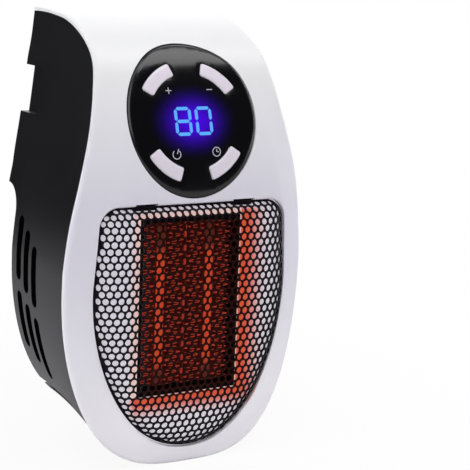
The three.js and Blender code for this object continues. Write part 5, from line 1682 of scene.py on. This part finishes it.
class HEATER_OT_grille(bpy.types.Operator):
    """Makes the perforated grille: a cell on every point, realised and bent to its dome"""
    bl_idname = "heater.grille"
    bl_label = "Grille"

    def execute(self, context):
        settings = context.scene.heater_grille
        roll = GrilleRoll()
        outline = grille_outline(roll.spare, 90, 24)
        centres = grille_centres(outline, settings.pitch)
        cell = perforation_cell(settings.pitch, settings.hole)
        border = grille_border(outline, centres, settings.pitch)
        points = new_piece("grille_points", along("Y", centres, 0), [])
        tree = repeat_tree("Perforations", cell, FINISHES["grille"].material, border)
        grille = repeated(points, tree, GRILLE_WELD)
        discard(cell, border)
        flat = np.array([v.co[:] for v in grille.data.vertices]) / MM + (0, FACE_Y, FACE_Z)
        bent = roll.bend(flat[:, [0, 2]], grille_outline(roll.spare, 400, 80))
        grille.data.vertices.foreach_set("co", to_frame(bent).ravel())
        grille.data.update()
        tidy_normals(grille, 50)
        if sum(p.normal.y for p in grille.data.polygons) > 0:
            grille.data.flip_normals()
        walled(grille, settings.sheet, -1)
        clips = [bevelled(clip_block("clip", x), CLIP_EASE) for x in CLIP_PLACES]
        grille = joined("grille_fine", [grille, *clips], 50)
        shown(grille, FINISHES["grille"], "case", "black_grille", "grille")
        return {"FINISHED"}


# Fins

def fin_fold(name, x0, x1, fold, steps=10):
    """One fold of the strip, an open sheet from bend to bend and back."""
    sharp = 0.96
    turn = np.linspace(0, 2 * math.pi, steps + 1)
    wave = np.arcsin(sharp * np.cos(turn)) / math.asin(sharp)
    x = (x0 + x1) / 2 - (x1 - x0) / 2 * wave
    z = FACE_Z + fold * np.linspace(0, 1, steps + 1)
    points = np.vstack([np.stack([x, np.full_like(x, y + FACE_Y), z], 1) for y in (FIN_FRONT, FIN_BACK)])
    far = steps + 1
    return new_piece(name, points, [(i, i + 1, far + i + 1, far + i) for i in range(steps)], 30)


def fin_column(name, settings):
    """One column of folds, as wide and tall as its node's box."""
    low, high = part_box(name)
    x0, x1 = low[0] / MM, high[0] / MM
    z0, z1 = low[2] / MM + FACE_Z, high[2] / MM + FACE_Z
    folds = max(int((z1 - z0) / settings.fold), 2)
    fold = (z1 - z0) / folds
    strip = settings.strip
    one = fin_fold("fold", x0 + strip / 2, x1 - strip / 2, fold)
    points = new_piece(name + "_points", [(0, 0, z0 + fold * i) for i in range(folds)], [])
    column = repeated(points, repeat_tree(name + "_tree", one, FINISHES["fin"].material), FIN_WELD)
    column.name = name + "_fine"
    discard(one)
    tidy_normals(column, 30)
    walled(column, strip, 0)
    shade(column, 30)
    shown(column, FINISHES["fin"], "case", "fin_metal", name)


class HEATER_OT_fins(bpy.types.Operator):
    """Makes the folded fins: one fold repeated up each column"""
    bl_idname = "heater.fins"
    bl_label = "Fins"

    def execute(self, context):
        for side in SIDES.values():
            for column in ("inner", "outer"):
                fin_column(f"fins_{side}_{column}", context.scene.heater_grille)
        return {"FINISHED"}


# Control panel

def make_lens():
    """The lens with its four openings, rounded at its rim and a little at each opening."""
    outer = panel.oval(0, 180)
    holes = [key_outline(angle, KEY_SEAT) for angle in KEY_ANGLES.values()]
    rings = [panel.oval(-inset, 180) for inset in (0.25, 0.7, 1.3)]
    flat, faces = sheet_mesh(outer, holes, 1.6, rings)
    to_hole = np.min([nearest_on(hole, flat, True)[0] for hole in holes], axis=0)
    ease = rounding(nearest_on(outer, flat, True)[0], reach=1.3, drop=0.9)
    ease += rounding(to_hole, reach=0.5, drop=0.15)

    def surface(points, depth):
        return panel.point(points, (LENS_LIFT - ease if depth == 0 else -depth))

    lens = thick_sheet("lens_fine", flat, faces, surface, LENS_THICK, 40)
    shown(lens, FINISHES["lens"], "case", "panel_lens", "control_lens")


def make_key(name, angle):
    """A key, with a rounded face that stands a little proud of the lens."""
    outline = key_outline(angle)
    rings = [key_outline(angle, -inset) for inset in (0.25, 0.6)]
    flat, faces = sheet_mesh(outline, [], 1.1, rings)
    lift = KEY_LIFT - rounding(nearest_on(outline, flat, True)[0], reach=0.6, drop=KEY_LIFT)

    def surface(points, depth):
        return panel.point(points, (lift if depth == 0 else -depth))

    key = thick_sheet(name + "_fine", flat, faces, surface, KEY_DEEP, 40)
    shown(key, FINISHES["key"], name + "_body", "pale_key", name)


def seven_segments(lit, left, width, height, thick, gap):
    """Outlines of the lit bars of one digit, about the panel's centre."""
    h, t = height / 2, thick / 2
    corners = {"tl": (0, h), "tr": (1, h), "ml": (0, 0), "mr": (1, 0), "bl": (0, -h), "br": (1, -h)}
    bars = {"a": ("tl", "tr"), "b": ("tr", "mr"), "c": ("mr", "br"), "d": ("bl", "br"),
            "e": ("ml", "bl"), "f": ("tl", "ml"), "g": ("ml", "mr")}
    out = []
    for bar in lit:
        ends = []
        for end in bars[bar]:
            u, v = corners[end]
            v = v - math.copysign(t, v) if v else 0.0
            ends.append(np.array([left + t + u * (width - 2 * t), v]))
        a, b = ends
        way = (b - a) / np.linalg.norm(b - a)
        side = np.array([-way[1], way[0]])
        a, b = a + way * gap, b - way * gap
        out.append(np.array([a, a + (way + side) * t, b + (side - way) * t,
                             b, b - (way + side) * t, a + (way - side) * t]))
    return out


def flat_marks(name, outlines, finish, slot, thick=0.06):
    """Thin lit shapes on the lens, about the middle of its display."""
    shift = np.array([0.0, -DIGIT_DROP])

    def surface(points, depth):
        return panel.point(points + shift, LENS_LIFT + (thick if depth == 0 else -thick))

    pieces = []
    for outline in outlines:
        flat, faces = sheet_mesh(outline, [], 1.2)
        pieces.append(thick_sheet(name, flat, faces, surface, 1.0))
    shown(joined(name, pieces), finish, "case", slot)


def make_digits():
    """The lit 80, in seven bars each at most."""
    bars = []
    for left, lit in DIGIT_PLACES.items():
        bars += seven_segments(lit, left, **DIGIT_SIZE)
    flat_marks("digits", bars, FINISHES["digit"], "pale_key")


def ring_arc(cx, cy, radius, thick, start, end, steps=26):
    """Outline of a stretch of ring, between two angles."""
    angle = np.radians(np.linspace(start, end, steps))
    way = np.stack([np.cos(angle), np.sin(angle)], 1)
    outer, inner = (np.array([cx, cy]) + (radius + half) * way for half in (thick / 2, -thick / 2))
    return np.vstack([outer, inner[::-1]])


def stroke(x0, y0, x1, y1, thick):
    a, b = np.array([x0, y0], float), np.array([x1, y1], float)
    way = (b - a) / np.linalg.norm(b - a)
    side = np.array([-way[1], way[0]]) * thick / 2
    return np.array([a + side, a - side, b - side, b + side])


def sign_place(angle):
    """A place on the ring of signs, at an angle from the panel's top."""
    turn = math.radians(angle)
    return SIGN_RADIUS * math.sin(turn), SIGN_RADIUS * math.cos(turn)


def make_signs():
    """A plus, a minus, a standby sign and a clock, one beside each key."""
    thick, half, ring = SIGN_THICK, SIGN_HALF, SIGN_RING
    split = thick / 2 + SIGN_SPLIT
    x, y = sign_place(-37)
    plus = [stroke(x - half, y, x + half, y, thick), stroke(x, y + half, x, y + split, thick),
            stroke(x, y - split, x, y - half, thick)]
    x, y = sign_place(36)
    minus = [stroke(x - half, y, x + half, y, thick)]
    x, y = sign_place(-146)
    standby = [ring_arc(x, y, ring, thick, 128, 412), stroke(x + 0.2, y + 0.2, x + 0.95, y + 2.1, thick)]
    x, y = sign_place(143)
    clock = [ring_arc(x, y, ring, thick, 0, 179), ring_arc(x, y, ring, thick, 181, 359),
             stroke(x, y + 1.1, x, y, thick), stroke(x + 0.2, y, x + 0.95, y, thick)]
    flat_marks("signs", [*plus, *minus, *standby, *clock], FINISHES["mark"], "pale_key", 0.04)


class HEATER_OT_panel(bpy.types.Operator):
    """Makes the round lens, its keys, its lit digits and its signs"""
    bl_idname = "heater.panel"
    bl_label = "Control panel"

    def execute(self, context):
        make_lens()
        for name, angle in KEY_ANGLES.items():
            make_key(name, angle)
        make_digits()
        make_signs()
        return {"FINISHED"}


# Plug

def plug_disc():
    """The turning disc: its inner spigot and flange, and a face with a fine groove near its rim."""
    (flange_front, flange_back), (groove_out, groove_in) = FLANGE_DEPTHS, DISC_GROOVE
    floor = FACE_Y - DISC_GROOVE_DEEP
    disc = turned("plug_disc_fine", [
        (SPIGOT_RADIUS, SPIGOT_FRONT), (SPIGOT_RADIUS, flange_front), (FLANGE_RADIUS, flange_front),
        (FLANGE_RADIUS, flange_back), (DISC_RADIUS, flange_back), (DISC_RADIUS, FACE_Y - DISC_EASE),
        (DISC_RADIUS - 0.2, FACE_Y - 0.2), (DISC_RADIUS - DISC_EASE, FACE_Y), (groove_out, FACE_Y),
        (groove_out - 0.2, floor), (groove_in + 0.2, floor), (groove_in, FACE_Y)], "Y", (0, FACE_Z), 120)
    wide, tall = BLADE_SLOT
    for side in SIDES:
        x = side * BLADE_PLACE
        carve(disc, box("gap", (x - wide, x + wide), (SLOT_FLOOR, REAR_REACH),
                        (BLADE_HEIGHT - tall, BLADE_HEIGHT + tall)))
    carve(disc, turned("gap", [(PIN_SLOT, SLOT_FLOOR), (PIN_SLOT, REAR_REACH)], "Y", (0, PIN_HEIGHT), 40))
    shade(disc, 30)
    shown(disc, FINISHES["housing"], "plug", "black_housing", "plug_disc")


def plug_blade(side, word):
    """A flat blade with round corners at its tip and a hole through it."""
    x, z, tip = side * BLADE_PLACE, BLADE_HEIGHT, FACE_Y + BLADE_LENGTH
    low, high = z - BLADE_HALF_WIDTH, z + BLADE_HALF_WIDTH
    outline = rounded([(BLADE_ROOT, low), (tip, low), (tip, high), (BLADE_ROOT, high)], BLADE_CORNER)
    blade = prism("blade", "X", outline, x - BLADE_HALF_THICK, x + BLADE_HALF_THICK)
    hole = [(BLADE_HOLE, x - 5), (BLADE_HOLE, x + 5)]
    carve(blade, turned("hole", hole, "X", (tip - BLADE_HOLE_BACK, z), 36))
    bevelled(blade, BLADE_EASE, 60)
    blade.name = f"plug_blade_{word}_fine"
    shade(blade, 30)
    shown(blade, FINISHES["contact"], "plug", "contact_metal", f"plug_blade_{word}")


def ground_pin():
    """A round pin with a domed tip."""
    shoulder = FACE_Y + PIN_LENGTH - PIN_RADIUS
    profile = [(PIN_RADIUS, BLADE_ROOT), (PIN_RADIUS, shoulder)]
    for turn in np.linspace(0.15, 1.5, 10):
        profile.append((PIN_RADIUS * math.cos(turn), shoulder + PIN_RADIUS * math.sin(turn)))
    pin = turned("ground_pin_fine", profile, "Y", (0, PIN_HEIGHT), 40)
    shown(pin, FINISHES["contact"], "plug", "contact_metal", "ground_pin")


class HEATER_OT_plug(bpy.types.Operator):
    """Makes the turning plug disc, its blades and its ground pin"""
    bl_idname = "heater.plug"
    bl_label = "Plug"

    def execute(self, context):
        plug_disc()
        for side, word in SIDES.items():
            plug_blade(side, word)
        ground_pin()
        return {"FINISHED"}


# Rocker switch

def rocker_holder():
    """The switch's body, with its rim, the rocker's well and the two tabs behind."""
    (cy, cz), face = ROCKER_PLACE, ROCKER_FACE
    holder = turned("rocker_holder_fine", [
        (HOLDER_RADIUS, face - HOLDER_DEEP), (HOLDER_RADIUS, ROCKER_PIVOT), (HOLDER_RIM, ROCKER_PIVOT),
        (HOLDER_RIM, face + 1.2), (HOLDER_RIM - 0.2, face + 1.7), (HOLDER_RIM - 0.7, face + 1.9),
        (HOLDER_WELL + 0.5, face + 1.9)], "X", ROCKER_PLACE, 96)
    well = [(HOLDER_WELL, face - HOLDER_WELL_DEEP), (HOLDER_WELL, face + 1.5), (HOLDER_WELL + 0.4, face + 3)]
    carve(holder, turned("well", well, "X", ROCKER_PLACE, 96))
    deep = tuple(face - reach for reach in TAB_DEEP)
    wide, thick = TAB_HALVES
    for side in SIDES:
        z = cz + side * TAB_PLACE
        carve(holder, box("tab", deep, (cy - wide, cy + wide), (z - thick, z + thick)), "UNION")
    shade(holder, 35)
    shown(holder, FINISHES["gloss"], "case", "black_gloss", "rocker_holder")


def tipped(points, height):
    """Points at a height over the rocker's pivot, leant to its rest pose."""
    tilt = math.radians(ROCKER_TILT)
    x = height * math.cos(tilt) + points[:, 1] * math.sin(tilt)
    z = -height * math.sin(tilt) + points[:, 1] * math.cos(tilt)
    return np.stack([ROCKER_PIVOT + x, ROCKER_PLACE[0] + points[:, 0], ROCKER_PLACE[1] + z], 1)


def dish(points):
    """Height of the rocker's face, lowest across its middle."""
    return ROCKER_HALF_THICK - ROCKER_DISH * (1 - np.abs(points[:, 1]) / ROCKER_RADIUS)


def rocker_button():
    """The rocker, with a dished face and a rounded edge."""
    rings = [oval(0, 0, radius, radius, 72) for radius in (ROCKER_RADIUS, 8.35, 7.8)]
    flat, faces = sheet_mesh(rings[0], [], 0.9, rings[1:])
    reach, drop = ROCKER_EDGE
    gap = ROCKER_RADIUS - np.hypot(flat[:, 0], flat[:, 1])
    face = dish(flat) - rounding(gap, reach, drop)

    def surface(points, depth):
        return tipped(points, face if depth == 0 else np.full(len(points), -ROCKER_HALF_THICK))

    rocker = thick_sheet("rocker_fine", flat, faces, surface, 1.0, 30)
    shown(rocker, FINISHES["gloss"], "rocker_body", "black_gloss", "rocker")


def rocker_signs():
    """A bar on the rocker's upper half and a ring on its lower half."""
    def surface(points, depth):
        return tipped(points, dish(points) + (0.05 if depth == 0 else -0.05))

    marks = []
    for outline in (stroke(0, 2.6, 0, 5.6, 0.75), ring_arc(0, -4.2, 1.5, 0.7, 0, 179, 20),
                    ring_arc(0, -4.2, 1.5, 0.7, 180, 359.5, 20)):
        flat, faces = sheet_mesh(outline, [], 0.8)
        marks.append(thick_sheet("mark", flat, faces, surface, 1.0))
    shown(joined("rocker_signs", marks), FINISHES["paint"], "rocker_body", "pale_key")


class HEATER_OT_rocker(bpy.types.Operator):
    """Makes the round rocker switch and its two signs"""
    bl_idname = "heater.rocker"
    bl_label = "Rocker switch"

    def execute(self, context):
        rocker_holder()
        rocker_button()
        rocker_signs()
        return {"FINISHED"}


# Inner pieces

class HEATER_OT_inside(bpy.types.Operator):
    """Gives the pieces that keep their own shape their finishes"""
    bl_idname = "heater.inside"
    bl_label = "Inner pieces"

    def execute(self, context):
        plan = {
            "frame": ["heater_frame", "end_cap_bottom", "end_cap_top", "fan_shroud"],
            "bar": ["ceramic_bar_left", "ceramic_bar_right"],
            "centre": ["centre_plate"],
            "grey": ["thermal_cutout"],
            "dark": ["impeller", "plug_retainer", *(f"tact_switch_{i}" for i in range(1, 5))],
            "steel": ["motor_shaft"],
            "can": ["fan_motor"],
            "board": ["panel_board", "power_board"],
            "display": ["display_module"],
            "relay": ["relay"],
            "film": ["filter_capacitor"],
            "connector": ["mains_connector"],
            "sleeve": ["smoothing_capacitor"],
            "lead_black": ["mains_lead", "motor_lead"],
            "lead_red": ["switch_lead"],
            "woven": ["heater_lead_left", "heater_lead_right"],
        }
        for name, nodes in plan.items():
            for node in nodes:
                dress(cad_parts[node], FINISHES[name])
        for node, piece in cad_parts.items():
            if "screw" in node:
                dress(piece, FINISHES["screw_dark" if node.startswith("case") else "screw_zinc"])
        return {"FINISHED"}


# Stage

def set_camera(scene):
    """The photograph's camera: turned about the target, then moved across its own view."""
    azimuth, elevation, roll = map(math.radians, VIEW_ANGLES.values())
    back = Vector((math.sin(azimuth) * math.cos(elevation), -math.cos(azimuth) * math.cos(elevation),
                   math.sin(elevation)))
    right = (-back).cross(Vector((0, 0, 1))).normalized()
    up = right.cross(-back)
    right, up = (math.cos(roll) * right + math.sin(roll) * up,
                 -math.sin(roll) * right + math.cos(roll) * up)
    eye = Vector(VIEW_TARGET) + back * VIEW_DISTANCE + right * VIEW_SHIFT[0] + up * VIEW_SHIFT[1]
    data = bpy.data.cameras.new("view")
    data.lens = PHOTO_FOCAL / PHOTO_SIZE * SENSOR
    data.sensor_width = SENSOR
    data.clip_start, data.clip_end = 0.01, 20
    camera = bpy.data.objects.new("view", data)
    scene.collection.objects.link(camera)
    turn = Matrix((right, up, back)).transposed().to_4x4()
    camera.matrix_world = Matrix.Translation(Vector(to_frame([eye])[0])) @ turn
    scene.camera = camera


def set_lamps(scene):
    """Soft lamps: name, place, width and height, power in watts."""
    plan = [
        ("key", (-0.55, -1.05, 0.7), (1.1, 1.1), 8.9),
        ("fill", (0.5, -0.34, 1.15), (1.0, 0.7), 7.2),
        ("top", (-0.3, -0.1, 1.3), (1.0, 1.0), 5.4),
        ("low", (0.95, -0.5, -0.04), (0.7, 0.2), 1.0),
        ("rim", (-0.9, 0.45, 0.0), (0.4, 0.9), 6.5),
        ("back", (0.3, 1.1, 0.5), (1.2, 1.0), 4.0),
        ("side", (1.3, 0.1, 0.1), (0.9, 0.9), 4.5),
    ]
    for name, place, size, power in plan:
        data = bpy.data.lights.new(name, "AREA")
        data.shape = "RECTANGLE"
        data.size, data.size_y = size
        data.energy = power
        lamp = bpy.data.objects.new(name, data)
        scene.collection.objects.link(lamp)
        turn = (Vector(place) - Vector(LAMP_AIM)).to_track_quat("Z", "Y").to_matrix().to_4x4()
        lamp.matrix_world = Matrix.Translation(place) @ turn


def set_world(scene):
    """A faint plain light, and a white backdrop for what looks past the object or mirrors what is behind."""
    world = bpy.data.worlds.new("studio")
    scene.world = world
    world.use_nodes = True
    f = Nodes(world.node_tree)
    f.tree.nodes.clear()
    rays = f.node("ShaderNodeLightPath")
    camera = f.out(rays, "Is Camera Ray")
    glossy = f.out(rays, "Is Glossy Ray")
    through = f.out(rays, "Is Transmission Ray")
    split = f.node("ShaderNodeSeparateXYZ", Vector=f.out(f.node("ShaderNodeTexCoord"), "Generated"))
    behind = f.out(split, "Y").smooth(0.1, 0.6) * f.out(split, "Z").smooth(0.1, 0.5)
    plain = f.out(f.node("ShaderNodeBackground", Color=(1, 1, 1, 1), Strength=WORLD_LIGHT))
    white = f.out(f.node("ShaderNodeBackground", Color=(1, 1, 1, 1), Strength=1.0))
    shown_white = camera.max(through).max(glossy * behind)
    f.join(f.blend(shown_white, plain, white), f.node("ShaderNodeOutputWorld").inputs["Surface"])


def set_floor(scene):
    """A wide pale floor under the object, which keeps the object's soft shadow."""
    low, reach = CAD_BOX[0][2], FLOOR_REACH
    mesh = bpy.data.meshes.new("floor")
    corners = [(-reach, -reach, low), (reach, -reach, low), (reach, reach, low), (-reach, reach, low)]
    mesh.from_pydata(corners, [], [(0, 1, 2, 3)])
    floor = bpy.data.objects.new("floor", mesh)
    scene.collection.objects.link(floor)
    f = Finish("floor_pale", (0.8, 0.8, 0.8), 0.9)
    rays = f.node("ShaderNodeLightPath")
    seen = f.out(rays, "Is Camera Ray").max(f.out(rays, "Is Transmission Ray"))
    away = (f.x * f.x + f.y * f.y).sqrt().smooth(*FLOOR_FADE)
    white = f.out(f.node("ShaderNodeEmission", Color=(1, 1, 1, 1), Strength=1.0))
    share = seen * (FLOOR_NEAR_WHITE + (1.0 - FLOOR_NEAR_WHITE) * away)
    f.join(f.blend(share, f.out(f.shader), white), f.tree.nodes["Material Output"].inputs["Surface"])
    mesh.materials.append(f.material)


class HEATER_OT_stage(bpy.types.Operator):
    """Sets the camera, the lamps, the floor and the pale background"""
    bl_idname = "heater.stage"
    bl_label = "Stage"

    def execute(self, context):
        scene = context.scene
        scene.view_settings.view_transform = "Standard"
        set_camera(scene)
        set_lamps(scene)
        set_world(scene)
        set_floor(scene)
        return {"FINISHED"}


# Panel and start

class HEATER_PT_panel(bpy.types.Panel):
    """Lists the steps that dress the heater"""
    bl_idname = "HEATER_PT_panel"
    bl_label = "Fan heater"
    bl_space_type = "VIEW_3D"
    bl_region_type = "UI"
    bl_category = "Heater"

    def draw(self, context):
        for group in GROUPS:
            settings = getattr(context.scene, group)
            for name in settings.bl_rna.properties.keys():
                if name not in ("rna_type", "name"):
                    self.layout.prop(settings, name)
        for step in STEPS:
            self.layout.operator(step.bl_idname)


STEPS = (HEATER_OT_finishes, HEATER_OT_stage, HEATER_OT_shell, HEATER_OT_housing, HEATER_OT_grille,
         HEATER_OT_fins, HEATER_OT_panel, HEATER_OT_plug, HEATER_OT_rocker, HEATER_OT_inside)
GROUPS = {"heater_body": HeaterBodySettings, "heater_grille": HeaterGrilleSettings,
          "heater_look": HeaterLookSettings}


def register():
    for name, group in GROUPS.items():
        bpy.utils.register_class(group)
        setattr(bpy.types.Scene, name, PointerProperty(type=group))
    for cls in (*STEPS, HEATER_PT_panel):
        bpy.utils.register_class(cls)


def unregister():
    for cls in (HEATER_PT_panel, *reversed(STEPS)):
        bpy.utils.unregister_class(cls)
    for name, group in GROUPS.items():
        delattr(bpy.types.Scene, name)
        bpy.utils.unregister_class(group)


def main():
    register()
    bpy.ops.heater.finishes()
    bpy.ops.heater.stage()
    bpy.ops.heater.shell()
    bpy.ops.heater.housing()
    bpy.ops.heater.grille()
    bpy.ops.heater.fins()
    bpy.ops.heater.panel()
    bpy.ops.heater.plug()
    bpy.ops.heater.rocker()
    bpy.ops.heater.inside()


if __name__ == "__main__":
    main()
